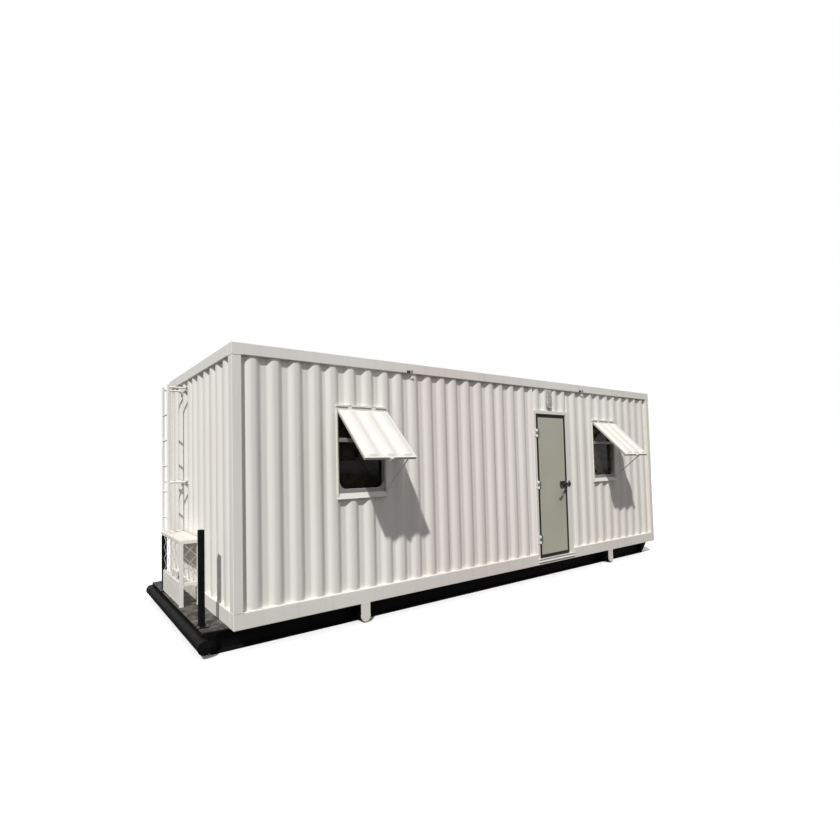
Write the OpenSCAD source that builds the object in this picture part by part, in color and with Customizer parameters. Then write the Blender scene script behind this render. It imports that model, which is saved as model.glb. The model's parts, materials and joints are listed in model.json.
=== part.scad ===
// Skid-mounted steel cabin with corrugated walls, a porch at its left end and two shuttered windows.
// Lengths are in millimetres. The cabin's own frame has x along the front, y from the front
// to the back and z up from the ground; in_row_frame() moves it to the middle of its footprint.

/* [Cabin] */
// Length over the rails
cabin_l = 7620; // [7000:10:8600]
// Width over the rails
cabin_w = 2438; // [2300:2:2900]
// Height of the wall between the door's frame and the roof rail
over_door_h = 320; // [250:1:450]
// Thickness of the floor
floor_t = 50; // [30:1:80]
// Height of the floor above the underside of the bottom rails
floor_rise = 78; // [60:1:84]

/* [Steel frame] */
// Depth of the rails, front to back
rail_w = 100; // [96:1:140]
// Height of the bottom rails
bottom_rail_h = 150; // [135:1:200]
// Height of the roof rails
top_rail_h = 114; // [100:1:160]
// Side of the square corner posts
post_w = 95; // [80:1:100]

/* [Corrugated walls] */
// Nominal distance between two ridges
wave_pitch = 220; // [180:1:280]
// Depth of the corrugation
wave_depth = 38; // [20:1:45]
// Width of a ridge from foot to foot, as a share of the distance between two ridges
ridge_share = 0.96; // [0.7:0.01:0.98]
// How broad and round the ridges are: 1 makes ridges and valleys alike
wave_bias = 1.5; // [1:0.1:2.5]
// Distance of the ridges behind the face of the rails
wall_set = 14; // [8:1:24]
// Wall behind the corrugation: sheet, insulation and lining
wall_core = 42; // [30:1:60]
// Ridges of the short wall over the doorway
over_door_ridges = 4; // [2:1:5]

/* [Roof] */
// Thickness of the roof between its ribs
roof_t = 60; // [40:1:80]
// Height of the pressed ribs on the roof
roof_rib_h = 16; // [8:1:24]
// Distance of the rib tops below the top of the roof rails
roof_drop = 10; // [4:1:30]

/* [Skid] */
// Height of the skid runners
skid_h = 200; // [180:1:260]
// Width of the runners
runner_w = 130; // [100:1:180]
// Distance of the runners behind the face of the rails
runner_set = 120; // [60:1:300]
// Length of the upturned nose at the right end
nose_l = 210; // [120:1:320]
// Thickness of a runner's flanges and web
runner_t = 16; // [10:1:24]
// Diameter of the tow pipe across the left end
tow_pipe_d = 120; // [90:1:150]
// Wall of the tow pipe
tow_pipe_t = 10; // [6:1:16]
// Distance of the tow pipe's axis from the end wall
tow_pipe_x = 240; // [200:1:300]
// Height of the tow pipe's axis above the ground
tow_pipe_z = 100; // [80:1:120]
// Length of the runners' raised nose under the tow pipe
tow_nose_l = 85; // [40:1:120]
// Distance of the tow pipe's ends behind the face of the rails
tow_pipe_set = 50; // [20:1:110]
// Diameter of the lifting tubes under the floor
lift_tube_d = 116; // [90:1:130]
// Wall of the lifting tubes
lift_tube_t = 8; // [5:1:12]
// Distance of each lifting tube from its end, as a share of the cabin's length
lift_tube_share = 0.187; // [0.1:0.001:0.3]
// Distance of the lifting tubes' axis below the bottom rails
lift_tube_drop = 130; // [110:1:134]
// Thickness of the end caps of the lifting tubes
lift_cap_t = 12; // [6:1:20]
// Width of the neck that ties an end cap to its rail
lift_neck_w = 110; // [50:1:114]

/* [Door] */
// Middle of the doorway, as a share of the cabin's length
door_share = 0.6227; // [0.5:0.0001:0.66]
// Width of the leaf
door_w = 685; // [640:1:800]
// Height of the leaf
door_h = 2005; // [1850:1:2060]
// Thickness of the leaf
door_t = 45; // [35:1:55]
// Width of the rubber gasket let into the leaf's rim
gasket_w = 40; // [12:1:50]
// Depth of the gasket
gasket_t = 12; // [8:1:20]
// Gap round the leaf
door_gap = 11; // [8:1:16]
// Width of the left jamb
jamb_left_w = 46; // [34:1:80]
// Width of the right jamb with its cover strip
jamb_right_w = 92; // [60:1:160]
// Height of the head of the frame
door_head_h = 46; // [36:1:80]
// Width of the stop that the leaf closes on
door_stop_w = 24; // [18:1:40]
// Height of the lower edge of the leaf above the underside of the bottom rails
door_rise = 95; // [90:1:110]
// Distance of the frame's face behind the face of the rails
frame_set = 3; // [1:1:8]
// Distance of the leaf's face behind the face of the frame
leaf_set = 7; // [4:1:12]
// Diameter of the hinge barrels
hinge_d = 22; // [16:1:26]
// Height of a hinge
hinge_h = 110; // [80:1:140]
// Heights of the hinges, as shares of the leaf's height
hinge_shares = [0.127, 0.506, 0.868];

/* [Windows] */
// Middles of the windows, as shares of the cabin's length
window_shares = [0.187, 0.8042];
// Width of a window over its frame
window_w = 640; // [500:1:800]
// Height of a window over its frame
window_h = 975; // [800:1:1100]
// Distance of a window's head below the top of the door's leaf
window_drop = 28; // [0:1:80]
// Width of the upright sides of a window's frame
window_frame_w = 16; // [10:1:40]
// Height of the head of a window's frame
window_head_h = 52; // [40:1:80]
// Width of the bars of the aluminium sash
sash_w = 18; // [14:1:30]
// Height of the bar between the lights
transom_h = 38; // [24:1:50]
// Height of the sash's foot
sash_foot = 38; // [25:1:50]
// Radius of the sash's lower corners
sash_r = 62; // [30:1:70]
// Height of the fixed lower light
lower_light_h = 492; // [350:1:600]
// Thickness of the glass
glass_t = 6; // [4:1:10]
// Height of the sill
sill_h = 60; // [40:1:80]
// How far the sill stands out from the frame
sill_out = 6; // [2:1:30]

/* [Shutters] */
// Length of a shutter from its hinges to its lower edge
shutter_l = 686; // [600:1:900]
// Angle at which the shutters are propped open
shutter_deg = 43; // [30:1:60]
// Height of the three pressed ribs
shutter_rib_h = 10; // [6:1:18]
// Depth of the folded side edges
shutter_edge = 30; // [20:1:40]
// Thickness of the shutter's sheet
shutter_t = 4; // [3:1:6]
// Diameter of the stay rods
stay_d = 12; // [8:1:16]

/* [Porch] */
// Side of the square guard posts
guard_post_w = 52; // [40:1:80]
// Height of the guard posts
guard_post_h = 876; // [700:1:1100]
// Distance of the guard posts' axes from the end wall
guard_x = 200; // [170:1:260]
// Distance of the near guard post's axis from the front
guard_set = 285; // [240:1:400]
// Distance of the far guard post's axis from the back
guard_far_set = 613; // [500:1:750]
// Thickness of the deck plate
deck_t = 8; // [5:1:12]
// Distance of the mesh guard's near corner from the front
cage_y = 1000; // [800:1:1200]
// Height of the mesh guard
cage_h = 690; // [500:1:800]
// Height of the kick plate
kick_h = 215; // [150:1:260]
// Thickness of the kick plate
kick_t = 4; // [3:1:8]
// Side of the tubes of the mesh guard
cage_bar = 38; // [25:1:45]
// Thickness of a mesh wire
wire_d = 6; // [4:1:8]

/* [Ladder] */
// Distance of the nearer stile from the back of the cabin
ladder_set = 838; // [700:1:900]
// Distance of the upper ties below the roof rail
ladder_drop = 90; // [60:1:200]
// Distance between the two stiles
ladder_w = 270; // [250:1:330]
// Diameter of the stiles
stile_d = 30; // [20:1:36]
// Diameter of the rungs
rung_d = 20; // [15:1:25]
// Distance between two rungs
rung_pitch = 300; // [250:1:350]

/* [Hidden] */
$fn = 48;
// One overrun serves every cut
cut = 1;
// Clearance between pieces that face each other but do not touch
clear = 0.3;

// Height from the underside of the bottom rails to the top of the roof rails
cabin_h = door_rise + door_h + door_gap + door_head_h + over_door_h + top_rail_h;

// Levels above the ground
rail_z = skid_h;
wall_z0 = skid_h + bottom_rail_h;
roof_z = skid_h + cabin_h;
wall_z1 = roof_z - top_rail_h;
floor_z = skid_h + floor_rise;

// Planes of a wall, counted from the face of its rail
ridge_y = wall_set;
valley_y = ridge_y + wave_depth;
lining_y = valley_y + wall_core;
// Straight steps that make up a rounded flank
flank_steps = 7;

// Places of the lifting tubes along the cabin
lift_xs = [cabin_l * lift_tube_share, cabin_l * (1 - lift_tube_share)];

// Doorway
door_x = cabin_l * door_share - door_w / 2;
frame_x0 = door_x - door_gap - jamb_left_w;
frame_x1 = door_x + door_w + door_gap + jamb_right_w;
leaf_z0 = skid_h + door_rise;
leaf_z1 = leaf_z0 + door_h;
frame_z1 = leaf_z1 + door_gap + door_head_h;
leaf_y = frame_set + leaf_set;
stop_y = leaf_y + door_t + door_gap / 2;
threshold_z = leaf_z0 - door_gap;
threshold_lip_t = 5;
threshold_out = 16;
apron_h = 44;
hinge_x = door_x - door_gap / 2;
hinge_y = frame_set - hinge_d / 2 - clear;
hinge_plate_t = 4;
hinge_plate_w = 40;
// A hinge has a middle knuckle on the leaf and an outer pair on the frame
knuckle_share = 0.4;
knuckle_low = hinge_h * (1 - knuckle_share) / 2;
knuckle_gap = 0.3;
hinge_pin_d = 10;
hinge_clear = 2;
pin_play = 0.2;
leaf_plate_w = 58;
lock_z_share = 0.5;
lock_z = leaf_z0 + door_h * lock_z_share;
lock_w = 150;
lock_h = 88;
lock_t = 17;
lock_set = 26;
hasp_h = 30;
hasp_l = 95;
hasp_t = 6;
boss_d = 40;
boss_l = 26;
rose_d = 48;
handle_drop = 104;
handle_l = 205;
handle_w = 18;
handle_t = 10;
handle_deg = 60;
staple_w = 42;
staple_set = 14;
stud_d = 12;
stud_l = 5;

// Windows
window_z1 = leaf_z1 - window_drop;
window_z0 = window_z1 - window_h;
window_y = frame_set;
sash_set = 36;
sash_y = window_y + sash_set;
sash_t = 26;
window_left_x = cabin_l * window_shares[0] - window_w / 2;
window_right_x = cabin_l * window_shares[1] - window_w / 2;
window_xs = [window_left_x, window_right_x];

// Shutters: the hinge line runs along the head of a window's frame
flap_inset = 3;
flap_drop = 55;
flap_y = window_y - shutter_edge;
flap_z = window_z1 - flap_drop;
flap_w = window_w - 2 * flap_inset;
flap_ribs = 3;
flap_rib_share = 0.58;
flap_rib_flank_share = 0.12;
flap_bar_w = 30;
flap_hem = 26;
flap_hinge_shares = [0.26, 0.74];
flap_hinge_w = 60;
flap_leaf_set = 4;
flap_knuckle_d = 16;
flap_knuckle_set = 9;
flap_tie_share = 0.6;
stay_share = 0.9;
latch_w = 70;
latch_t = 5;
latch_l = 18;
latch_lug_w = 26;
stay_lug = 22;
stay_pin_share = 0.7;
stay_gap = 3;
stay_foot_rise = 76;
flap_dir_y = -sin(shutter_deg);
flap_dir_z = -cos(shutter_deg);

// Lamp over the door
lamp_w = 122;
lamp_h_share = 0.88;
lamp_z_share = 0.07;
lamp_x_share = 0.444;
lamp_h = over_door_h * lamp_h_share;
lamp_t = 52;
lamp_base_t = 12;
lamp_x = door_x + door_w * lamp_x_share;
lamp_z = frame_z1 + over_door_h * lamp_z_share;

// Hooks on the front roof rail
hook_shares = [0.274, 0.7227];
hook_w = 64;
hook_h = 34;
hook_out = 38;
hook_t = 8;

// Porch
deck_z = skid_h;
guard_far_y = cabin_w - guard_far_set;
flange_w = 110;
flange_t = 10;
cage_x = guard_x;
cage_y1 = guard_far_y - guard_post_w / 2;
cage_over = 80;
cage_z1 = deck_z + cage_h;
mesh_cols_outer = 4;
mesh_cols_side = 2;
mesh_rows = 3;
mesh_z0 = deck_z + kick_h + cage_bar;
mesh_h = cage_h - kick_h - 2 * cage_bar;

// Ladder
stile_ys = [cabin_w - ladder_set, cabin_w - ladder_set + ladder_w];
ladder_x = cage_x;
ladder_z0 = cage_z1;
ladder_z1 = wall_z1 - ladder_drop;
rung_first = 180;
bracket_rise = 590;
strap_h = 44;
strap_t = 8;
strap_over = 60;
bracket_share = 0.8;

// Reach of the whole part, which sets the origin
flap_tip_y = flap_y + (shutter_l + latch_l) * flap_dir_y;
reach_x0 = -tow_pipe_x - tow_pipe_d / 2;
reach_x1 = cabin_l;
reach_y0 = flap_tip_y;
reach_y1 = cabin_w;
mid_x = (reach_x0 + reach_x1) / 2;
mid_y = (reach_y0 + reach_y1) / 2;

paint_white = [0.89, 0.88, 0.86];
paint_black = [0.05, 0.05, 0.05];
door_grey = [0.62, 0.61, 0.55];
steel_grey = [0.55, 0.56, 0.56];
glass_brown = [0.1, 0.09, 0.07];
lock_black = [0.12, 0.12, 0.12];

module in_row_frame() translate([-mid_x, -mid_y, 0]) children();

// A block between two corners
module block(low, high) translate(low) cube(high - low);

// Gaps between the ridges on a wall from a to b, which has the foot of a ridge at each end
function wave_gaps(a, b) = max(1, round((b - a) / wave_pitch - ridge_share));

// True distance between two ridges on such a wall
function wave_step(a, b) = (b - a) / (wave_gaps(a, b) + ridge_share);

function ridge_middles(a, b) =
  let (step = wave_step(a, b))
  [for (i = [0 : wave_gaps(a, b)]) a + step * (ridge_share / 2 + i)];

// Share of the depth lost at a share of the way from a ridge's middle to its foot
function fall_share(share) =
  let (biased = pow(share, wave_bias))
  biased * biased * (3 - 2 * biased);

// One ridge with its middle at m, up from its foot to its crest and down again
function ridge_line(m, step, foot, crest) =
  let (reach = step * ridge_share / 2)
  [for (i = [-flank_steps : flank_steps])
    let (share = i / flank_steps)
    [m + reach * share, crest + (foot - crest) * fall_share(abs(share))]];

// Plan of a corrugated wall from a to b: waves outside, flat lining inside
function wave_plan(a, b, middles, step) = concat(
  [[a, valley_y]],
  [for (m = middles) each ridge_line(m, step, valley_y, ridge_y)],
  [[b, valley_y], [b, lining_y], [a, lining_y]]
);

module wave_slab(a, b, middles, step, z0, z1)
  translate([0, 0, z0]) linear_extrude(z1 - z0) polygon(wave_plan(a, b, middles, step));

module wave_wall(a, b) wave_slab(a, b, ridge_middles(a, b), wave_step(a, b), wall_z0, wall_z1);

// Swaps a wall made along the front to the back, the left end or the right end
module at_back() translate([0, cabin_w, 0]) mirror([0, 1, 0]) children();
module at_left() mirror([1, -1, 0]) children();
module at_right() translate([cabin_l, 0, 0]) mirror([1, 0, 0]) at_left() children();

// Skid

module runner()
  translate([0, runner_w, 0]) rotate([90, 0, 0]) linear_extrude(runner_w)
    polygon([
      [tow_nose_l - tow_pipe_x, 0], [cabin_l - nose_l, 0], [cabin_l, skid_h],
      [-tow_pipe_x, skid_h], [-tow_pipe_x, tow_pipe_z]
    ]);

// Hollows that leave two flanges and a web, as a rolled beam has
module runner_hollows() {
  side = (runner_w - runner_t) / 2;
  for (y = [0, runner_w - side])
    block([tow_pipe_d - tow_pipe_x, y - (y == 0 ? cut : 0), runner_t],
      [cabin_l - nose_l - runner_t, y + side + (y == 0 ? 0 : cut), skid_h - runner_t]);
}

module skid_runners() color(paint_black) in_row_frame()
  for (y = [runner_set, cabin_w - runner_set - runner_w])
    translate([0, y, 0]) difference() {
      runner();
      runner_hollows();
      translate([-tow_pipe_x, -cut, tow_pipe_z]) rotate([-90, 0, 0])
        cylinder(d = tow_pipe_d, h = runner_w + 2 * cut);
      for (x = lift_xs)
        translate([x, -cut, skid_h - lift_tube_drop]) rotate([-90, 0, 0])
          cylinder(d = lift_tube_d, h = runner_w + 2 * cut);
    }

module tow_pipe() color(paint_black) in_row_frame()
  translate([-tow_pipe_x, tow_pipe_set, tow_pipe_z]) rotate([-90, 0, 0]) difference() {
    cylinder(d = tow_pipe_d, h = cabin_w - 2 * tow_pipe_set);
    translate([0, 0, -cut])
      cylinder(d = tow_pipe_d - 2 * tow_pipe_t, h = cabin_w - 2 * tow_pipe_set + 2 * cut);
  }

module tow_pipe_caps() color(paint_black) in_row_frame()
  for (y = [tow_pipe_set - tow_pipe_t, cabin_w - tow_pipe_set])
    translate([-tow_pipe_x, y, tow_pipe_z]) rotate([-90, 0, 0])
      cylinder(d = tow_pipe_d, h = tow_pipe_t);

module lifting_tubes() color(paint_black) in_row_frame()
  for (x = lift_xs)
    translate([x, lift_cap_t, skid_h - lift_tube_drop]) rotate([-90, 0, 0]) difference() {
      cylinder(d = lift_tube_d, h = cabin_w - 2 * lift_cap_t);
      translate([0, 0, -cut])
        cylinder(d = lift_tube_d - 2 * lift_tube_t, h = cabin_w - 2 * lift_cap_t + 2 * cut);
    }

module lifting_cap() {
  translate([0, 0, -lift_tube_drop]) rotate([-90, 0, 0]) cylinder(d = lift_tube_d, h = lift_cap_t);
  block([-lift_neck_w / 2, 0, -lift_tube_drop], [lift_neck_w / 2, lift_cap_t, 0]);
}

module lifting_tube_caps() color(paint_white) in_row_frame()
  for (x = lift_xs, y = [0, cabin_w - lift_cap_t])
    translate([x, y, skid_h]) lifting_cap();

// Steel frame

module long_rail(z0, z1) block([0, 0, z0], [cabin_l, rail_w, z1]);

module short_rail(z0, z1) block([0, rail_w, z0], [rail_w, cabin_w - rail_w, z1]);

module bottom_rail_front() color(paint_white) in_row_frame() difference() {
  long_rail(rail_z, wall_z0);
  block([frame_x0, -cut, threshold_z - threshold_lip_t], [frame_x1, rail_w + cut, wall_z0 + cut]);
}

module bottom_rail_back() color(paint_white) in_row_frame() at_back() long_rail(rail_z, wall_z0);

module bottom_rail_left() color(paint_white) in_row_frame() short_rail(rail_z, wall_z0);

module bottom_rail_right() color(paint_white) in_row_frame()
  translate([cabin_l - rail_w, 0, 0]) short_rail(rail_z, wall_z0);

module floor() color(steel_grey) in_row_frame()
  block([rail_w, rail_w, floor_z - floor_t], [cabin_l - rail_w, cabin_w - rail_w, floor_z]);

module corner_posts() color(paint_white) in_row_frame()
  for (x = [0, cabin_l - post_w], y = [0, cabin_w - post_w])
    block([x, y, wall_z0], [x + post_w, y + post_w, wall_z1]);

module top_rail_front() color(paint_white) in_row_frame() long_rail(wall_z1, roof_z);

module top_rail_back() color(paint_white) in_row_frame() at_back() long_rail(wall_z1, roof_z);

module top_rail_left() color(paint_white) in_row_frame() short_rail(wall_z1, roof_z);

module top_rail_right() color(paint_white) in_row_frame()
  translate([cabin_l - rail_w, 0, 0]) short_rail(wall_z1, roof_z);

// Section of the roof along the cabin: low pressed ribs on a flat sandwich
function roof_section(a, b) =
  let (
    top = roof_z - roof_drop,
    low = top - roof_rib_h
  )
  concat(
    [[a, low]],
    [for (m = ridge_middles(a, b)) each ridge_line(m, wave_step(a, b), low, top)],
    [[b, low], [b, low - roof_t], [a, low - roof_t]]
  );

module roof() color(paint_white) in_row_frame()
  translate([0, cabin_w - rail_w, 0]) rotate([90, 0, 0]) linear_extrude(cabin_w - 2 * rail_w)
    polygon(roof_section(rail_w, cabin_l - rail_w));

// Walls

module window_hole(x)
  block([x, -cut, window_z0], [x + window_w, lining_y + cut, window_z1]);

module front_wall_left() color(paint_white) in_row_frame() difference() {
  wave_wall(post_w, frame_x0);
  window_hole(window_left_x);
}

module front_wall_right() color(paint_white) in_row_frame() difference() {
  wave_wall(frame_x1, cabin_l - post_w);
  window_hole(window_right_x);
}

module front_wall_over_door() color(paint_white) in_row_frame() {
  step = (frame_x1 - frame_x0) / over_door_ridges;
  middles = [for (i = [0 : over_door_ridges - 1]) frame_x0 + step * (i + 1 / 2)];
  wave_slab(frame_x0, frame_x1, middles, step, frame_z1, wall_z1);
}

module back_wall() color(paint_white) in_row_frame() at_back() wave_wall(post_w, cabin_l - post_w);

module end_wall_left() color(paint_white) in_row_frame() at_left() wave_wall(post_w, cabin_w - post_w);

module end_wall_right() color(paint_white) in_row_frame() at_right() wave_wall(post_w, cabin_w - post_w);

// Windows

module window_frame(x) {
  difference() {
    block([x, window_y, window_z0], [x + window_w, lining_y, window_z1]);
    block([x + window_frame_w, window_y - cut, window_z0 + sill_h],
      [x + window_w - window_frame_w, lining_y + cut, window_z1 - window_head_h]);
  }
  block([x, window_y - sill_out, window_z0], [x + window_w, window_y, window_z0 + sill_h]);
}

module window_frame_left() color(paint_white) in_row_frame() window_frame(window_left_x);

module window_frame_right() color(paint_white) in_row_frame() window_frame(window_right_x);

// A light with two round lower corners, drawn from its lower left corner
module light_shape(w, h) {
  translate([0, sash_r]) square([w, h - sash_r]);
  translate([sash_r, 0]) square([w - 2 * sash_r, h]);
  for (u = [sash_r, w - sash_r]) translate([u, sash_r]) circle(r = sash_r);
}

module window_sash(x) {
  w = window_w - 2 * window_frame_w;
  h = window_h - window_head_h - sill_h;
  light_w = w - 2 * sash_w;
  upper_z = sash_foot + lower_light_h + transom_h;
  translate([x + window_frame_w, sash_y + sash_t, window_z0 + sill_h]) rotate([90, 0, 0])
    linear_extrude(sash_t) difference() {
      square([w, h]);
      translate([sash_w, sash_foot]) light_shape(light_w, lower_light_h);
      translate([sash_w, upper_z]) square([light_w, h - upper_z - sash_w]);
    }
}

module window_sash_left() color(steel_grey) in_row_frame() window_sash(window_left_x);

module window_sash_right() color(steel_grey) in_row_frame() window_sash(window_right_x);

module window_glass(x)
  block([x + window_frame_w, sash_y + sash_t, window_z0 + sill_h],
    [x + window_w - window_frame_w, sash_y + sash_t + glass_t, window_z1 - window_head_h]);

module window_glass_left() color(glass_brown) in_row_frame() window_glass(window_left_x);

module window_glass_right() color(glass_brown) in_row_frame() window_glass(window_right_x);

// Shutters

// Moves a shutter, drawn with x across, y outwards and z down its length, to its propped place
module on_flap(x)
  translate([x + flap_inset, flap_y, flap_z]) rotate([-shutter_deg, 0, 0])
    mirror([0, 0, 1]) mirror([0, 1, 0]) children();

// Section of a shutter's sheet with both side edges folded back
module flap_section()
  polygon([
    [0, -shutter_edge],
    [0, 0],
    [flap_w, 0],
    [flap_w, -shutter_edge],
    [flap_w - shutter_t, -shutter_edge],
    [flap_w - shutter_t, -shutter_t],
    [shutter_t, -shutter_t],
    [shutter_t, -shutter_edge]
  ]);

// Section of one pressed rib, standing in the sheet around its middle line
module rib_section() {
  pitch = flap_w / flap_ribs;
  flat = pitch * flap_rib_share / 2;
  reach = flat + pitch * flap_rib_flank_share;
  polygon([[-reach, -shutter_t / 2], [-reach, 0], [-flat, shutter_rib_h], [flat, shutter_rib_h],
    [reach, 0], [reach, -shutter_t / 2]]);
}

module shutter(x) on_flap(x) {
  linear_extrude(shutter_l) flap_section();
  for (i = [0 : flap_ribs - 1])
    translate([flap_w / flap_ribs * (i + 1 / 2), 0, flap_hem])
      linear_extrude(shutter_l - 2 * flap_hem) rib_section();
  for (v = [0, shutter_l - shutter_t])
    block([0, -shutter_edge, v], [flap_w, 0, v + shutter_t]);
  for (v = [0, shutter_l - flap_bar_w])
    block([0, -shutter_edge, v], [flap_w, -shutter_edge + shutter_t, v + flap_bar_w]);
}

module shutter_left() color(paint_white) in_row_frame() shutter(window_left_x);

module shutter_right() color(paint_white) in_row_frame() shutter(window_right_x);

// A barrel along a shutter's top, a block that ties it to the shutter and a leaf on the window's head
module shutter_hinges() color(steel_grey) in_row_frame()
  for (x = window_xs, share = flap_hinge_shares) {
    u = flap_w * share - flap_hinge_w / 2;
    n = -shutter_edge / 2;
    tie = flap_knuckle_d * flap_tie_share / 2;
    on_flap(x) {
      translate([u, n, -flap_knuckle_set]) rotate([0, 90, 0])
        cylinder(d = flap_knuckle_d, h = flap_hinge_w);
      block([u, n - tie, -flap_knuckle_set], [u + flap_hinge_w, n + tie, 0]);
    }
    barrel_y = flap_y - n * cos(shutter_deg) + flap_knuckle_set * sin(shutter_deg);
    barrel_z = flap_z + n * sin(shutter_deg) + flap_knuckle_set * cos(shutter_deg);
    low_x = x + flap_inset + u + flap_leaf_set;
    high_x = low_x + flap_hinge_w - 2 * flap_leaf_set;
    block([low_x, barrel_y, barrel_z], [high_x, window_y, barrel_z + tie]);
    block([low_x, window_y - shutter_t, barrel_z], [high_x, window_y, window_z1]);
  }

// A turn latch and its plate at the middle of a shutter's lower edge
module shutter_latches() color(steel_grey) in_row_frame()
  for (x = window_xs) on_flap(x) translate([flap_w / 2, 0, shutter_l]) {
    block([-latch_w / 2, -shutter_edge, 0], [latch_w / 2, -latch_t, latch_t]);
    block([-latch_lug_w / 2, -shutter_edge, 0], [latch_lug_w / 2, 0, latch_l]);
  }

module shutter_stays() color(steel_grey) in_row_frame()
  for (x = window_xs) {
    pin_l = stay_d / 2 + stay_gap;
    stay_x = x + window_w - flap_inset - shutter_t - pin_l;
    foot = [stay_x, window_y - stay_lug / 2, window_z0 + stay_foot_rise];
    head = [
      stay_x,
      flap_y + shutter_l * stay_share * flap_dir_y + shutter_edge / 2 * cos(shutter_deg),
      flap_z + shutter_l * stay_share * flap_dir_z - shutter_edge / 2 * sin(shutter_deg)
    ];
    run = head - foot;
    translate(foot) rotate([-atan2(run[1], run[2]), 0, 0]) cylinder(d = stay_d, h = norm(run));
    translate(head) rotate([0, 90, 0]) cylinder(d = stay_d * stay_pin_share, h = pin_l);
    lug = [stay_lug, stay_lug, stay_lug];
    block(foot - lug / 2, foot + lug / 2);
  }

// Door

module door_frame() color(paint_white) in_row_frame() difference() {
  block([frame_x0, frame_set, threshold_z], [frame_x1, lining_y, frame_z1]);
  block([door_x - door_gap, frame_set - cut, threshold_z - cut],
    [door_x + door_w + door_gap, stop_y, leaf_z1 + door_gap]);
  block([door_x - door_gap + door_stop_w, stop_y - cut, threshold_z - cut],
    [door_x + door_w + door_gap - door_stop_w, lining_y + cut, leaf_z1 + door_gap - door_stop_w]);
}

// Section of the threshold: a tread, an apron over the rail and a second lip below it
module door_threshold() color(paint_white) in_row_frame()
  translate([frame_x0, 0, threshold_z]) rotate([90, 0, 90]) linear_extrude(frame_x1 - frame_x0)
    polygon([
      [-threshold_out, 0], [rail_w, 0], [rail_w, -threshold_lip_t], [0, -threshold_lip_t],
      [0, -apron_h], [-threshold_out, -apron_h], [-threshold_out, threshold_lip_t - apron_h],
      [-threshold_lip_t, threshold_lip_t - apron_h], [-threshold_lip_t, -threshold_lip_t],
      [-threshold_out, -threshold_lip_t]
    ]);

// Barrel of a hinge whose lower end is at z, between two heights
module knuckle(z, from, to, d = hinge_d)
  translate([hinge_x, hinge_y, z + from]) cylinder(d = d, h = to - from);

function hinge_z(share) = leaf_z0 + door_h * share - hinge_h / 2;

module door_frame_hinges() color(paint_white) in_row_frame()
  for (share = hinge_shares) {
    z = hinge_z(share);
    plate_x1 = hinge_x - hinge_d / 2 - hinge_clear;
    block([plate_x1 - hinge_plate_w, frame_set - hinge_plate_t, z],
      [plate_x1, frame_set, z + hinge_h]);
    knuckle(z, 0, hinge_h, hinge_pin_d);
    for (span = [[0, knuckle_low - knuckle_gap], [hinge_h - knuckle_low + knuckle_gap, hinge_h]]) {
      knuckle(z, span[0], span[1]);
      block([plate_x1 - hinge_plate_t, frame_set - hinge_plate_t, z + span[0]],
        [hinge_x, frame_set - clear, z + span[1]]);
    }
  }

// The leaf's outer part is let back all round for the gasket
module door_leaf() color(door_grey) in_row_frame() {
  block([door_x, leaf_y + gasket_t, leaf_z0], [door_x + door_w, leaf_y + door_t, leaf_z1]);
  block([door_x + gasket_w, leaf_y, leaf_z0 + gasket_w],
    [door_x + door_w - gasket_w, leaf_y + gasket_t, leaf_z1 - gasket_w]);
}

module door_gasket() color(paint_black) in_row_frame() difference() {
  block([door_x, leaf_y, leaf_z0], [door_x + door_w, leaf_y + gasket_t, leaf_z1]);
  block([door_x + gasket_w, leaf_y - cut, leaf_z0 + gasket_w],
    [door_x + door_w - gasket_w, leaf_y + gasket_t + cut, leaf_z1 - gasket_w]);
}

// Each hinge's middle knuckle, bored for the pin, and its plate on the face of the leaf
module door_hinge_leaves() color(steel_grey) in_row_frame()
  for (share = hinge_shares) {
    z = hinge_z(share);
    plate_x0 = hinge_x + hinge_d / 2 + hinge_clear;
    difference() {
      union() {
        knuckle(z, knuckle_low, hinge_h - knuckle_low);
        block([hinge_x, leaf_y - hinge_plate_t, z + knuckle_low],
          [plate_x0 + hinge_plate_t, leaf_y, z + hinge_h - knuckle_low]);
        block([hinge_x, hinge_y, z + knuckle_low],
          [hinge_x + hinge_d / 2, leaf_y, z + hinge_h - knuckle_low]);
      }
      knuckle(z, -cut, hinge_h + cut, hinge_pin_d + 2 * pin_play);
    }
    block([plate_x0, leaf_y - hinge_plate_t, z],
      [plate_x0 + leaf_plate_w, leaf_y, z + hinge_h]);
  }

// Lock case with a knob and a hasp that reaches over the jamb, and a drop handle on a rose below it
module door_lock() color(lock_black) in_row_frame()
  translate([door_x + door_w - lock_set, leaf_y, lock_z]) {
    block([-lock_w, -lock_t, -lock_h / 2], [0, 0, lock_h / 2]);
    block([-hasp_h, -lock_t - hasp_t, -hasp_h / 2], [hasp_l, -lock_t, hasp_h / 2]);
    translate([-lock_w / 2, -lock_t, 0]) rotate([90, 0, 0]) cylinder(d = boss_d, h = boss_l);
    translate([-rose_d / 2, 0, -handle_drop]) rotate([90, -handle_deg, 0]) {
      cylinder(d = rose_d, h = lock_t);
      translate([-handle_l, -handle_w / 2, lock_t]) cube([handle_l, handle_w, handle_t]);
    }
  }

// Plate on the jamb, with two studs beside the hasp
module door_staple() color(lock_black) in_row_frame()
  translate([door_x + door_w + door_gap + staple_set, frame_set, lock_z]) {
    block([0, -hinge_plate_t, -lock_h / 2], [staple_w, 0, lock_h / 2]);
    for (side = [-1, 1])
      translate([staple_w / 2, 0, side * hasp_h])
        rotate([90, 0, 0]) cylinder(d = stud_d, h = hinge_plate_t + stud_l);
  }

// Lamp over the door: a base plate and a body with a round lower end
module lamp_shape(w, h) {
  translate([-w / 2, w / 2]) square([w, h - w / 2]);
  translate([0, w / 2]) circle(d = w);
}

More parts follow.
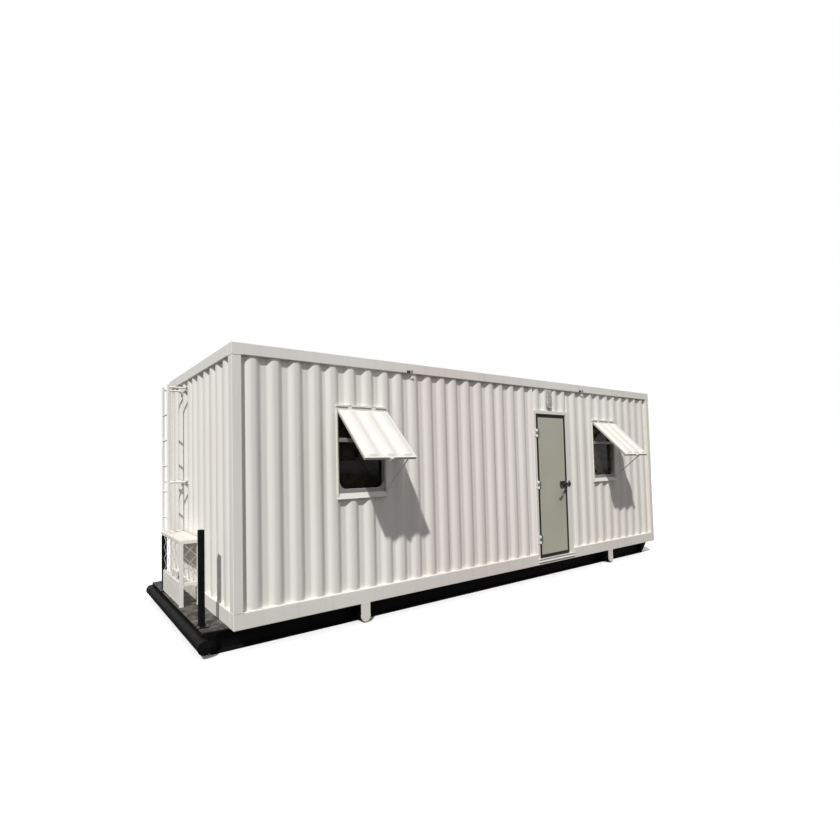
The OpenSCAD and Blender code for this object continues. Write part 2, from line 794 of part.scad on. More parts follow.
module door_lamp() color(steel_grey) in_row_frame()
  translate([lamp_x, ridge_y, lamp_z]) rotate([90, 0, 0]) {
    linear_extrude(lamp_base_t) lamp_shape(lamp_w, lamp_h);
    translate([0, lamp_base_t, 0]) linear_extrude(lamp_t)
      lamp_shape(lamp_w - 2 * lamp_base_t, lamp_h - 2 * lamp_base_t);
  }

// A bent plate on the front of the roof rail
module roof_rail_hooks() color(steel_grey) in_row_frame()
  for (share = hook_shares) translate([cabin_l * share - hook_w / 2, 0, wall_z1]) {
    block([0, -hook_t, 0], [hook_w, 0, hook_h]);
    block([0, -hook_out, 0], [hook_w, 0, hook_t]);
    block([0, -hook_out, 0], [hook_w, -hook_out + hook_t, hook_h]);
  }

// Porch

module porch_deck() color(steel_grey) in_row_frame()
  block([-tow_pipe_x, runner_set, deck_z], [0, cabin_w - runner_set, deck_z + deck_t]);

module guard_post(y, h) translate([-guard_x, y, deck_z + deck_t]) {
  translate([-guard_post_w / 2, -guard_post_w / 2, 0]) cube([guard_post_w, guard_post_w, h]);
  translate([-flange_w / 2, -flange_w / 2, 0]) cube([flange_w, flange_w, flange_t]);
}

// The near post stands free and the far one carries the end of the mesh guard's rail
module guard_posts() color(paint_black) in_row_frame() {
  guard_post(guard_set, guard_post_h);
  guard_post(guard_far_y, cage_h - cage_bar - deck_t);
}

module cage_post(x, y) block([x, y, deck_z + deck_t], [x + cage_bar, y + cage_bar, cage_z1]);

module mesh_guard_frame() color(paint_white) in_row_frame() {
  x0 = -cage_x - cage_bar / 2;
  mid_z = deck_z + kick_h;
  cage_post(x0, cage_y);
  cage_post(-cage_bar, cage_y);
  block([x0, cage_y, mid_z], [x0 + cage_bar, cage_y1, mid_z + cage_bar]);
  block([x0, cage_y, cage_z1 - cage_bar], [x0 + cage_bar, guard_far_y + cage_over, cage_z1]);
  for (z = [mid_z, cage_z1 - cage_bar])
    block([x0, cage_y, z], [0, cage_y + cage_bar, z + cage_bar]);
}

// Diamond mesh w by h in the plane of x and z, with crossing wires
module diamond_mesh(w, h, cols) {
  cell_w = w / cols;
  cell_h = h / mesh_rows;
  lean = atan2(cell_h, cell_w);
  wire_l = norm([w, h]) * 2;
  intersection() {
    translate([0, -wire_d, 0]) cube([w, 2 * wire_d, h]);
    for (i = [-mesh_rows : cols + mesh_rows], s = [-1, 1])
      translate([(i + 1 / 2) * cell_w, 0, s > 0 ? 0 : h]) rotate([0, -s * lean, 0])
        translate([-wire_l / 2, -wire_d / 2, -wire_d / 2]) cube([wire_l, wire_d, wire_d]);
  }
}

module guard_mesh_outer() color(paint_white) in_row_frame()
  translate([-cage_x, cage_y + cage_bar, mesh_z0]) rotate([0, 0, 90])
    diamond_mesh(cage_y1 - cage_y - cage_bar, mesh_h, mesh_cols_outer);

module guard_mesh_side() color(paint_white) in_row_frame()
  translate([-cage_x + cage_bar / 2, cage_y + cage_bar / 2, mesh_z0])
    diamond_mesh(cage_x - cage_bar * 3 / 2, mesh_h, mesh_cols_side);

module kick_plate() color(paint_white) in_row_frame()
  block([-cage_x - cage_bar / 2, cage_y + cage_bar, deck_z + deck_t + flange_t],
    [-cage_x - cage_bar / 2 + kick_t, cage_y1, deck_z + kick_h]);

// Ladder

module stile(y)
  translate([-ladder_x, y, ladder_z0]) cylinder(d = stile_d, h = ladder_z1 + stile_d - ladder_z0);

module ladder_stiles() color(paint_white) in_row_frame()
  for (y = stile_ys) stile(y);

module ladder_rungs() color(paint_white) in_row_frame()
  for (z = [ladder_z0 + rung_first : rung_pitch : ladder_z1 - stile_d]) difference() {
    translate([-ladder_x, stile_ys[0], z]) rotate([-90, 0, 0]) cylinder(d = rung_d, h = ladder_w);
    for (y = stile_ys) stile(y);
  }

// Two tubes from the stiles to a flat strap on the ridges of the wall
module ladder_bracket(z) {
  for (y = stile_ys) difference() {
    translate([-ladder_x, y, z]) rotate([0, 90, 0])
      cylinder(d = stile_d * bracket_share, h = ladder_x + ridge_y - strap_t);
    stile(y);
  }
  block([ridge_y - strap_t, stile_ys[0] - strap_over, z - strap_h / 2],
    [ridge_y, stile_ys[1] + strap_over, z + strap_h / 2]);
}

module ladder_brackets() color(paint_white) in_row_frame()
  for (z = [ladder_z0 + bracket_rise, ladder_z1]) ladder_bracket(z);

skid_runners();
tow_pipe();
tow_pipe_caps();
lifting_tubes();
lifting_tube_caps();
bottom_rail_front();
bottom_rail_back();
bottom_rail_left();
bottom_rail_right();
floor();
corner_posts();
top_rail_front();
top_rail_back();
top_rail_left();
top_rail_right();
roof();
front_wall_left();
front_wall_over_door();
front_wall_right();
back_wall();
end_wall_left();
end_wall_right();
window_frame_left();
window_frame_right();
window_sash_left();
window_sash_right();
window_glass_left();
window_glass_right();
shutter_left();
shutter_right();
shutter_hinges();
shutter_latches();
shutter_stays();
door_frame();
door_threshold();
door_frame_hinges();
door_staple();
door_leaf();
door_gasket();
door_hinge_leaves();
door_lock();
door_lamp();
roof_rail_hooks();
porch_deck();
guard_posts();
mesh_guard_frame();
guard_mesh_outer();
guard_mesh_side();
kick_plate();
ladder_stiles();
ladder_rungs();
ladder_brackets();
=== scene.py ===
import json
import math
from functools import partial
import bpy
import bmesh
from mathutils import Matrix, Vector


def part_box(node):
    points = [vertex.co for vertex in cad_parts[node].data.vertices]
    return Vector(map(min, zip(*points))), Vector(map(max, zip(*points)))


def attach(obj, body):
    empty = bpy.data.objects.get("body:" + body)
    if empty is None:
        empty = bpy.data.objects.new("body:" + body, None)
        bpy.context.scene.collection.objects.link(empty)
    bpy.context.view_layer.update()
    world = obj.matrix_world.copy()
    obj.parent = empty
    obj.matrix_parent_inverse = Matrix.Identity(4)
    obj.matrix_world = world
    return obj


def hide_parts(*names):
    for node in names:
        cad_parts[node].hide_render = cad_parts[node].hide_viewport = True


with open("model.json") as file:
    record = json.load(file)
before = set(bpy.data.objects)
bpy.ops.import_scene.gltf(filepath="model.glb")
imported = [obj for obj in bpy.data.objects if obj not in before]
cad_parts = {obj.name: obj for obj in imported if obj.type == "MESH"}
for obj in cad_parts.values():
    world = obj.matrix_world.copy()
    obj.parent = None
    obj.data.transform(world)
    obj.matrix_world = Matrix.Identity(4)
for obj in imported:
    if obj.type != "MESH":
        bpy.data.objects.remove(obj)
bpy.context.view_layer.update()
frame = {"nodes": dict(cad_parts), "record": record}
scene = bpy.context.scene
print("frame loaded:", len(frame["nodes"]), "nodes")


def hexColour(code):
    # sRGB hex to linear
    channels = [int(code[i:i + 2], 16) / 255 for i in (1, 3, 5)]
    return [c / 12.92 if c <= 0.04045 else ((c + 0.055) / 1.055) ** 2.4 for c in channels] + [1.0]


def perMm(size):
    # texture scale for features of this size, on coordinates in metres
    return 1000.0 / size


def feed(node, inputs):
    # links a socket, or the first output that a node shows; a hex code becomes a colour, the rest is set
    for key, value in inputs.items():
        if isinstance(value, bpy.types.Node):
            value = next(socket for socket in value.outputs if socket.enabled)
        if isinstance(value, bpy.types.NodeSocket):
            node.id_data.links.new(value, node.inputs[key])
        else:
            isCode = isinstance(value, str) and value.startswith("#")
            node.inputs[key].default_value = hexColour(value) if isCode else value


def addNode(tree, kind, inputs=(), **settings):
    # the family is looked up, a kind in capitals is a math operation, and a mix is one of colours
    # inputs are a list in order, or a dictionary by name or number
    if kind.isupper():
        kind, settings["operation"] = "Math", kind
    if kind == "Mix":
        settings["data_type"] = "RGBA"
    families = ("ShaderNode", "GeometryNode", "FunctionNode", "Node")
    node = tree.nodes.new(next(family + kind for family in families if hasattr(bpy.types, family + kind)))
    for key, value in settings.items():
        setattr(node, key, value)
    feed(node, inputs if isinstance(inputs, dict) else dict(enumerate(inputs)))
    return node


cameraView = {
    "place": (-5.094988, -5.079199, 1.680897),
    "turn": (92.42138, 1.06831, -32.97522),
    "sensor": 36,
    "lens": 20.27498,
    "shift": (0.0857133, 0.0258742),
    "reach": 300,
}
camera = bpy.data.objects.new("camera", bpy.data.cameras.new("camera"))
camera.location = cameraView["place"]
camera.rotation_euler = [math.radians(a) for a in cameraView["turn"]]
camera.data.sensor_width = cameraView["sensor"]
camera.data.lens = cameraView["lens"]
camera.data.shift_x, camera.data.shift_y = cameraView["shift"]
camera.data.clip_end = cameraView["reach"]
scene.collection.objects.link(camera)
scene.camera = camera
scene.view_settings.view_transform = "Standard"

# a hard sun from the front left, a weak broad one from behind and a pale sky; travel is the way light goes
studio = {
    "keyLight": {"energy": 3.3, "travel": (0.524, 0.428, -0.736), "spread": 1.6},
    "rimLight": {"energy": 0.9, "travel": (-0.66, -0.5, -0.56), "spread": 25},
    "fill": 0.5, "sky": "#F3F2FB", "backdrop": "#FFFFFF",
    "floor": "#FFFFFF", "floorCloud": "#FAF9F7", "floorBounce": "#4A4844", "cloudMm": 2500, "floorHalf": 60,
}
for name in ("keyLight", "rimLight"):
    sun = bpy.data.objects.new(name, bpy.data.lights.new(name, "SUN"))
    sun.data.energy = studio[name]["energy"]
    sun.data.angle = math.radians(studio[name]["spread"])
    sun.rotation_euler = Vector(studio[name]["travel"]).to_track_quat("-Z", "Y").to_euler()
    scene.collection.objects.link(sun)

world = bpy.data.worlds.new("studio")
world.use_nodes = True
scene.world = world
add = partial(addNode, world.node_tree)
seen = add("LightPath").outputs["Is Camera Ray"]
level = add("MapRange", {0: seen, "To Min": studio["fill"], "To Max": 1.0})
tint = add("Mix", {0: seen, 6: studio["sky"], 7: studio["backdrop"]})
feed(world.node_tree.nodes["Background"], {"Color": tint, "Strength": level})

half = studio["floorHalf"]
floorMesh = bpy.data.meshes.new("studioFloor")
floorMesh.from_pydata([(-half, -half, 0), (half, -half, 0), (half, half, 0), (-half, half, 0)], [],
                      [(0, 1, 2, 3)])
studioFloor = bpy.data.objects.new("studioFloor", floorMesh)
scene.collection.objects.link(studioFloor)
print("camera, light and floor set")


def newFinish(name, roughness, metallic=0.0):
    # a material, with what adds its nodes, its shader and its coordinates
    material = bpy.data.materials.new(name)
    material.use_nodes = True
    add = partial(addNode, material.node_tree)
    shader = material.node_tree.nodes["Principled BSDF"]
    feed(shader, {"Roughness": roughness, "Metallic": metallic})
    return material, add, shader, add("TexCoord").outputs["Object"]


def patches(where, mm, detail):
    # what a noise is given for patches of this size
    return {"Vector": where, "Scale": perMm(mm), "Detail": detail}


def addMottle(add, where, look):
    # one noise, narrowed by the look's range, changes its clean colour over to its worn one
    drawn = add("Mapping", {"Vector": where, "Scale": look["stretch"]}) if "stretch" in look else where
    noise = add("TexNoise", patches(drawn, look["mm"], look["detail"]))
    share = add("MapRange", [noise, *look["range"]]) if "range" in look else noise
    return noise, add("Mix", {0: share, 6: look["clean"], 7: look["worn"]})


def mottledFinish(name, look, roughness, metallic=0.0):
    material, add, shader, where = newFinish(name, roughness, metallic)
    feed(shader, {"Base Color": addMottle(add, where, look)[1]})
    return material


# concrete screed: pale and matt, a little cloudy, and it throws back less light than it shows
screed, add, shader, where = newFinish("pale_screed", 0.9)
cloud = add("TexNoise", patches(where, studio["cloudMm"], 3.0))
tint = add("Mix", {0: cloud, 6: studio["floor"], 7: studio["floorCloud"]})
straight = add("LightPath").outputs["Is Camera Ray"]
kept = add("Mix", {0: straight, 6: studio["floorBounce"], 7: tint})
feed(shader, {"Base Color": kept, "Specular IOR Level": 0.0})
floorMesh.materials.append(screed)

# alkyd enamel sprayed on steel: warm white with a soft shine, rain streaks, thin dust low down and on ledges,
# and the dust colour growing towards the right end
# a range is from low, from high, to low, to high, here and in the finishes below
paint = {"clean": "#E9EAE0", "tone": "#E5DCD5", "streak": "#A9A291", "dust": "#B7A98F", "rust": "#7C4C2D",
         "toneMm": 1900, "streakMm": 55, "dustMm": 160, "rustMm": 14, "dentMm": 420, "peelMm": 9,
         "toneX": -0.5, "toneRange": (0.5, 1.5, 0.4, -0.2), "streakStretch": (1, 1, 0.035),
         "streakRange": (0.5, 0.8, 0.0, 0.13), "lowRange": (0.2, 0.6, 0.13, 0.02),
         "ledgeRange": (0.55, 0.95, 0.0, 0.22), "rightEndRange": (0.9, 3.0, 0.0, 0.3),
         "rustRange": (0.7, 0.76, 0.0, 0.75), "skidRange": (0.2, 0.38, 1.0, 0.0),
         "shineRange": (0.3, 0.7, 0.36, 0.52)}
whitePaint, add, shader, where = newFinish("white_alkyd_enamel", 0.42)
x, y, z = add("SeparateXYZ", [where]).outputs
facing = add("SeparateXYZ", [add("NewGeometry").outputs["Normal"]])
tone = add("TexNoise", patches(where, paint["toneMm"], 3.0))
offMiddle = add("ABSOLUTE", [add("SUBTRACT", [x, paint["toneX"]])])
drift = add("MapRange", [offMiddle, *paint["toneRange"]])
toneShare = add("ADD", [tone, drift], use_clamp=True)
base = add("Mix", {0: toneShare, 6: paint["clean"], 7: paint["tone"]})
drawn = add("Mapping", {"Vector": where, "Scale": paint["streakStretch"]})
run = add("TexNoise", patches(drawn, paint["streakMm"], 4.0))
runShare = add("MapRange", [run, *paint["streakRange"]])
streaked = add("Mix", {0: runShare, 6: base, 7: paint["streak"]})
patch = add("TexNoise", patches(where, paint["dustMm"], 5.0))
low = add("MapRange", [z, *paint["lowRange"]])
ledge = add("MapRange", [facing.outputs[2], *paint["ledgeRange"]])
# the dust colour also grows towards the right end, so the walls there turn a little darker
towardsRightEnd = add("MapRange", [x, *paint["rightEndRange"]])
lowOrLedge = add("MAXIMUM", [low, ledge])
dustAndRightEnd = add("MAXIMUM", [lowOrLedge, towardsRightEnd])
dustShare = add("MULTIPLY", [dustAndRightEnd, patch])
dusty = add("Mix", {0: dustShare, 6: streaked, 7: paint["dust"]})
speck = add("TexNoise", patches(where, paint["rustMm"], 2.0))
speckShare = add("MapRange", [speck, *paint["rustRange"]])
nearSkid = add("MapRange", [z, *paint["skidRange"]])
rustShare = add("MULTIPLY", [speckShare, nearSkid])
rusted = add("Mix", {0: rustShare, 6: dusty, 7: paint["rust"]})
shine = add("MapRange", [patch, *paint["shineRange"]])
dent = add("TexNoise", patches(where, paint["dentMm"], 1.0))
dented = add("Bump", {"Strength": 0.25, "Distance": 0.004, "Height": dent})
peel = add("TexNoise", patches(where, paint["peelMm"], 1.0))  # drawn coarser than real
peeled = add("Bump", {"Strength": 0.06, "Distance": 0.001, "Height": peel, "Normal": dented})
feed(shader, {"Base Color": rusted, "Roughness": shine, "Normal": peeled})

# bitumen paint brushed on rolled steel: near black, half matt, grey with dust on top and scuffed
tar = {"clean": "#070607", "worn": "#161514", "dust": "#4A463F", "mm": 60, "detail": 6.0, "dustMm": 220,
       "range": (0.5, 0.75, 0.0, 0.6), "ledgeRange": (0.5, 0.95, 0.02, 0.22),
       "shineRange": (0.3, 0.7, 0.42, 0.68)}
blackPaint, add, shader, where = newFinish("black_bitumen_paint", 0.55)
facing = add("SeparateXYZ", [add("NewGeometry").outputs["Normal"]])
scuff, worn = addMottle(add, where, tar)
patch = add("TexNoise", patches(where, tar["dustMm"], 5.0))
ledge = add("MapRange", [facing.outputs[2], *tar["ledgeRange"]])
dustShare = add("MULTIPLY", [ledge, patch])
dusty = add("Mix", {0: dustShare, 6: worn, 7: tar["dust"]})
shine = add("MapRange", [scuff, *tar["shineRange"]])
brushed = add("Bump", {"Strength": 0.2, "Distance": 0.002, "Height": scuff})
feed(shader, {"Base Color": dusty, "Roughness": shine, "Normal": brushed, "Specular IOR Level": 0.2})

# powder coat on the door's steel skin: grey-beige, finely grained, rubbed where hands reach the lock
coat = {"clean": "#BBB9A8", "worn": "#B0AE9D", "mm": 350, "detail": 4.0, "hand": "#938F80",
        "handRange": (0.05, 0.3, 0.5, 0.0), "grainMm": 5}
doorCoat, add, shader, where = newFinish("grey_beige_powder_coat", 0.5)
tone, base = addMottle(add, where, coat)
lowLock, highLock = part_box("door_lock")
reach = add("VectorMath", [where, (lowLock + highLock) / 2], operation="DISTANCE")
rub = add("MapRange", [reach, *coat["handRange"]])
rubShare = add("MULTIPLY", [rub, tone])
rubbed = add("Mix", {0: rubShare, 6: base, 7: coat["hand"]})
# the grain is drawn coarser than it is
grain = add("TexNoise", patches(where, coat["grainMm"], 2.0))
grained = add("Bump", {"Strength": 0.1, "Distance": 0.001, "Height": grain})
feed(shader, {"Base Color": rubbed, "Normal": grained})

# anodised aluminium, drawn in bars: satin grey with lines along the bar, coarser than real ones
sash = {"clean": "#B9BAB6", "worn": "#9C9D99", "mm": 3, "detail": 2.0, "stretch": (1, 1, 0.05)}
sashAluminium, add, shader, where = newFinish("satin_anodised_aluminium", 0.45, 0.5)
line, base = addMottle(add, where, sash)
lined = add("Bump", {"Strength": 0.08, "Distance": 0.001, "Height": line})
feed(shader, {"Base Color": base, "Normal": lined})

# tinted float glass: dark brown, clear reflections, a light film of dust, and towards the right window a
# lighter brown painted reflection
glass = {"clean": "#151009", "film": "#6E6146", "filmMm": 90, "paintedReflectionRange": (0.0, 2.0, 0.12, 2.2),
         "filmRange": (0.35, 0.8, 0.0), "smearRange": (0.3, 0.8, 0.03, 0.14)}
tintedGlass, add, shader, where = newFinish("brown_tinted_glass", 0.04)
film = add("TexNoise", patches(where, glass["filmMm"], 5.0))
across = add("SeparateXYZ", [where]).outputs["X"]
# painted reflection: the lighter brown film grows towards the right window, which is seen most edge-on
paintedReflection = add("MapRange", [across, *glass["paintedReflectionRange"]])
filmAndReflectionShare = add("MapRange", [film, *glass["filmRange"], paintedReflection])
base = add("Mix", {0: filmAndReflectionShare, 6: glass["clean"], 7: glass["film"]})
smear = add("MapRange", [film, *glass["smearRange"]])
feed(shader, {"Base Color": base, "Roughness": smear, "IOR": 1.5, "Specular IOR Level": 0.12,
              "Transmission Weight": 0.55})

# hot-dip zinc on steel: grey with a cloudy spangle
spelter = {"light": "#A9ACAC", "dark": "#7F8384", "spangleMm": 14, "shineRange": (0.0, 0.8, 0.38, 0.6)}
zinc, add, shader, where = newFinish("hot_dip_zinc", 0.48, 0.9)
spangle = add("TexVoronoi", {"Vector": where, "Scale": perMm(spelter["spangleMm"])}).outputs
base = add("Mix", {0: spangle["Color"], 6: spelter["light"], 7: spelter["dark"]})
cloud = add("MapRange", [spangle["Distance"], *spelter["shineRange"]])
feed(shader, {"Base Color": base, "Roughness": cloud})

# extruded rubber: soot black and matt, greyed by dust
rubber = {"clean": "#141414", "worn": "#33302B", "mm": 40, "detail": 5.0}
gasketRubber, add, shader, where = newFinish("extruded_black_rubber", 0.8)
film, base = addMottle(add, where, rubber)
skin = add("Bump", {"Strength": 0.15, "Distance": 0.001, "Height": film})
feed(shader, {"Base Color": base, "Normal": skin})

# film-faced birch plywood: dark brown boards, worn lighter along the grain
ply = {"clean": "#4A3424", "worn": "#8A6A48", "mm": 18, "detail": 6.0, "stretch": (0.08, 1, 1)}
floorPly = mottledFinish("film_faced_plywood", ply, 0.6)

# blackened lock steel: dark with grey wear and a tight highlight
blacking = {"clean": "#24221F", "worn": "#827D73", "mm": 22, "detail": 6.0, "range": (0.47, 0.64, 0.0, 0.8)}
lockSteel = mottledFinish("blackened_lock_steel", blacking, 0.4, 0.6)

# moulded polycarbonate: mottled grey, slightly clouded by the sun
plastic = {"clean": "#A09F9A", "worn": "#C6C4BE", "mm": 45, "detail": 5.0, "range": (0.35, 0.65)}
lampPlastic = mottledFinish("moulded_grey_polycarbonate", plastic, 0.4)

# rolled deck steel: dark painted grey, bare and brighter where boots wear it
plate = {"clean": "#3B3A39", "worn": "#7C766C", "mm": 110, "detail": 7.0, "range": (0.42, 0.68)}
deckSteel = mottledFinish("worn_deck_steel", plate, 0.55, 0.35)

slotFinish = {
    "white_painted_steel": whitePaint, "black_painted_steel": blackPaint, "floor_board": floorPly,
    "aluminium_sash": sashAluminium, "tinted_glass": tintedGlass, "galvanised_steel": zinc,
    "grey_painted_door": doorCoat, "black_lock_steel": lockSteel, "grey_lamp_plastic": lampPlastic,
    "deck_plate": deckSteel, "black_rubber": gasketRubber,
}
nodeSlot = {part["node"]: part["material_slot"] for part in frame["record"]["subparts"]}
for name, obj in frame["nodes"].items():
    if not obj.material_slots:
        obj.data.materials.append(slotFinish[nodeSlot[name]])
    for slot in obj.material_slots:
        slot.material = slotFinish[nodeSlot[name]]
print("finishes made:", len(slotFinish))


def newTree(name, inputs):
    # a tree with the inputs listed after each kind of socket, what adds its nodes, and its inputs' sockets
    tree = bpy.data.node_groups.new(name, "GeometryNodeTree")
    for kind, labels in {"Geometry": "Geometry", **inputs, "Material": "Finish"}.items():
        for label in labels.split(", "):
            tree.interface.new_socket(label, in_out="INPUT", socket_type="NodeSocket" + kind)
    tree.interface.new_socket("Geometry", in_out="OUTPUT", socket_type="NodeSocketGeometry")
    return tree, partial(addNode, tree), tree.nodes.new("NodeGroupInput").outputs


def closeTree(add, given, shape):
    # a tree with a turn sets its shape in place, and each gives it its finish
    if "Turn" in given:
        shape = add("Transform", {0: shape, "Translation": given["Place"], "Rotation": given["Turn"]})
    real = add("RealizeInstances", [shape])
    done = add("SetMaterial", {0: real, "Material": given["Finish"]})
    add("GroupOutput", [done])


def creaseEdges(add, shape, degrees):
    # edges that bend by more than this are shaded sharp
    sharp = add("Compare", [add("InputMeshEdgeAngle"), math.radians(degrees)], operation="GREATER_THAN")
    return add("SetShadeSmooth", {0: shape, "Selection": sharp, "Shade Smooth": False}, domain="EDGE")


def keepPiece(obj, body, node):
    # a finished piece rides on its body, and stands in for a node where one is named
    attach(obj, body)
    if node:
        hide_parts(node)
    print("made", obj.name, len(obj.data.polygons), "faces")


def growPiece(name, tree, values, slot="white_painted_steel", mesh=None, body="cabin", node=None, wall=0.0):
    # runs the tree on a host mesh, gives a thin sheet its wall, and keeps the result as a plain mesh
    # values named as inputs of the tree, with capitals, go to it, and the others are passed over
    obj = bpy.data.objects.new(name, mesh or bpy.data.meshes.new(name))
    scene.collection.objects.link(obj)
    maker = obj.modifiers.new("maker", "NODES")
    maker.node_group = tree
    values = {**values, "Finish": slotFinish[slot]}
    for item in tree.interface.items_tree:
        if item.in_out == "INPUT" and item.name in values:
            maker[item.identifier] = values[item.name]
    if wall:
        obj.modifiers.new("wall", "SOLIDIFY").thickness = wall
    made = bpy.data.meshes.new_from_object(obj.evaluated_get(bpy.context.evaluated_depsgraph_get()))
    obj.modifiers.clear()
    obj.data = made
    made.name = name
    keepPiece(obj, body, node)


def titled(node):
    return node.title().replace("_", "")


# corrugated sheets with a flat lining: round ridges, flat valleys, four ridges to a sheet, lapped in a valley
sheet = {"Depth": 0.030, "Foot": 0.176, "Bias": 1.5, "pitch": 0.224, "ridges": 4, "lap": 0.028,
         "start": 0.019, "pitchRight": 0.2265, "startRight": -0.175, "overDoorRidges": 4,
         "roofDepth": 0.016, "pointGap": 0.006, "crease": 35}
wave, add, given = newTree("corrugatedSheet", {
    "Float": "Length, Height, Thickness, Depth, Foot, Bias, Start, Sheet, First, Step",
    "Int": "Last Ridge, Points", "Vector": "Place, Turn, Hole Middle, Hole Size", "Bool": "Cut"})
ring = add("MeshCircle", {"Vertices": add("ADD", [given["Points"], 2.0])}, fill_type="NGON")
index = add("InputIndex")
onWave = add("Compare", {2: index, 3: given["Points"]}, data_type="INT", operation="LESS_THAN")
share = add("DIVIDE", [index, add("SUBTRACT", [given["Points"], 1.0])])
# the last two points are the lining's corners
back = add("SUBTRACT", [add("ADD", [given["Points"], 1.0]), index])
along = add("Switch", [onWave, back, share], input_type="FLOAT")
x = add("MULTIPLY", [along, given["Length"]])
fromStart = add("SUBTRACT", [x, given["Start"]])
sheetNumber = add("FLOOR", [add("DIVIDE", [fromStart, given["Sheet"]])])
sheetAt = add("MULTIPLY", [add("MAXIMUM", [sheetNumber, 0.0]), given["Sheet"]])
inSheet = add("SUBTRACT", [fromStart, sheetAt])
fromFirst = add("SUBTRACT", [inSheet, given["First"]])
whole = add("ROUND", [add("DIVIDE", [fromFirst, given["Step"]])])
ridgeNumber = add("Clamp", [whole, 0.0, given["Last Ridge"]])
ridgeAt = add("MULTIPLY", [ridgeNumber, given["Step"]])
offRidge = add("ABSOLUTE", [add("SUBTRACT", [fromFirst, ridgeAt])])
halfFoot = add("MULTIPLY", [given["Foot"], 0.5])
toFoot = add("DIVIDE", [offRidge, halfFoot], use_clamp=True)
biased = add("POWER", [toFoot, given["Bias"]])
sunk = add("MapRange", [biased, 0.0, 1.0, 0.0, given["Depth"]], interpolation_type="SMOOTHSTEP")
y = add("Switch", [onWave, given["Thickness"], sunk], input_type="FLOAT")
outline = add("SetPosition", {0: ring, "Position": add("CombineXYZ", [x, y, 0.0])})
up = add("CombineXYZ", {2: given["Height"]})
raised = add("ExtrudeMesh", {"Mesh": outline, "Offset": up, "Individual": False}, mode="FACES")
foot = add("FlipFaces", [outline])
both = add("JoinGeometry", [raised])
feed(both, {0: foot})
solid = add("MergeByDistance", {0: both, "Distance": 0.00001})
block = add("MeshCube", {"Size": given["Hole Size"]})
blockThere = add("Transform", {0: block, "Translation": given["Hole Middle"]})
holed = add("MeshBoolean", [solid, blockThere], operation="DIFFERENCE", solver="EXACT")
chosen = add("Switch", [given["Cut"], solid, holed], input_type="GEOMETRY")
smooth = add("SetShadeSmooth", [chosen])
closeTree(add, given, creaseEdges(add, smooth, sheet["crease"]))

wallTurns = {"front_wall_left": 0, "front_wall_over_door": 0, "front_wall_right": 0, "back_wall": 180,
             "end_wall_left": -90, "end_wall_right": 90}
windowIn = {"front_wall_left": "window_frame_left", "front_wall_right": "window_frame_right"}


def ridgeRule(node, length):
    # where a wall's ridges stand: its first sheet's edge, the sheets' width, and the ridges within a sheet
    start, step, ridges = sheet["start"], sheet["pitch"], sheet["ridges"]
    wide = ridges * step - sheet["lap"]
    if node == "front_wall_right":
        start, step, wide = sheet["startRight"], sheet["pitchRight"], ridges * sheet["pitchRight"]
    if node == "front_wall_over_door":
        ridges = sheet["overDoorRidges"]
        start, step, wide = 0.0, length / ridges, length
    return {"Start": start, "Sheet": wide, "First": (wide - (ridges - 1) * step) / 2, "Step": step,
            "Last Ridge": ridges - 1}


def sheetValues(node, length):
    return {**sheet, "Length": length, "Points": int(length / sheet["pointGap"]), "Cut": node in windowIn,
            **ridgeRule(node, length)}


for node, turn in wallTurns.items():
    low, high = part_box(node)
    size = high - low
    starts = {0: low, 180: (high.x, high.y, low.z), -90: (low.x, high.y, low.z), 90: (high.x, low.y, low.z)}
    length, thickness = (size.y, size.x) if abs(turn) == 90 else (size.x, size.y)
    values = {**sheetValues(node, length), "Height": size.z, "Thickness": thickness, "Place": starts[turn],
              "Turn": (0, 0, math.radians(turn))}
    if node in windowIn:
        lowHole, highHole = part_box(windowIn[node])
        values["Hole Middle"] = ((lowHole.x + highHole.x) / 2 - low.x, size.y / 2,
                                 (lowHole.z + highHole.z) / 2 - low.z)
        values["Hole Size"] = (highHole.x - lowHole.x, size.y * 2, highHole.z - lowHole.z)
    growPiece(titled(node) + "Sheet", wave, values, node=node)

# the roof is the same sheet laid flat, its waves running across the cabin
low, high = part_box("roof")
growPiece("RoofSheet", wave, {
    **sheetValues("roof", high.x - low.x), "Depth": sheet["roofDepth"], "Height": high.y - low.y,
    "Thickness": high.z - low.z, "Place": (low.x, low.y, high.z), "Turn": (math.radians(-90), 0, 0)},
    node="roof")


# shutters: a pressed pan with three broad ribs that end short of its hems, edges folded back
pan = {"Length": 0.686, "Edge": 0.030, "Rib Height": 0.016, "Ribs": 3.0, "Flat Share": 0.16,
       "Flank Share": 0.40, "Hem": 0.008, "Rib End": 0.032, "Across": 97, "Along": 90,
       "degrees": 43, "sheet": 0.004, "crease": 40}
press, add, given = newTree("pressedShutter", {
    "Float": "Width, Length, Edge, Rib Height, Ribs, Flat Share, Flank Share, Hem, Rib End",
    "Int": "Across, Along", "Vector": "Place, Turn"})
grid = add("MeshGrid", {"Size X": given["Width"], "Size Y": given["Length"], "Vertices X": given["Across"],
                        "Vertices Y": given["Along"]})
halfWidth = add("MULTIPLY", [given["Width"], 0.5])
halfLength = add("MULTIPLY", [given["Length"], 0.5])
spot = add("SeparateXYZ", [add("InputPosition")])
fromSide = add("ADD", [spot.outputs[0], halfWidth])
pitch = add("DIVIDE", [given["Width"], given["Ribs"]])
inPitch = add("MODULO", [fromSide, pitch])
halfPitch = add("MULTIPLY", [pitch, 0.5])
offMiddle = add("ABSOLUTE", [add("SUBTRACT", [inPitch, halfPitch])])
flat = add("MULTIPLY", [halfPitch, given["Flat Share"]])
flank = add("MULTIPLY", [pitch, given["Flank Share"]])
reach = add("ADD", [flat, flank])
acrossRib = add("MapRange", [offMiddle, flat, reach, 1.0, 0.0], interpolation_type="SMOOTHSTEP")
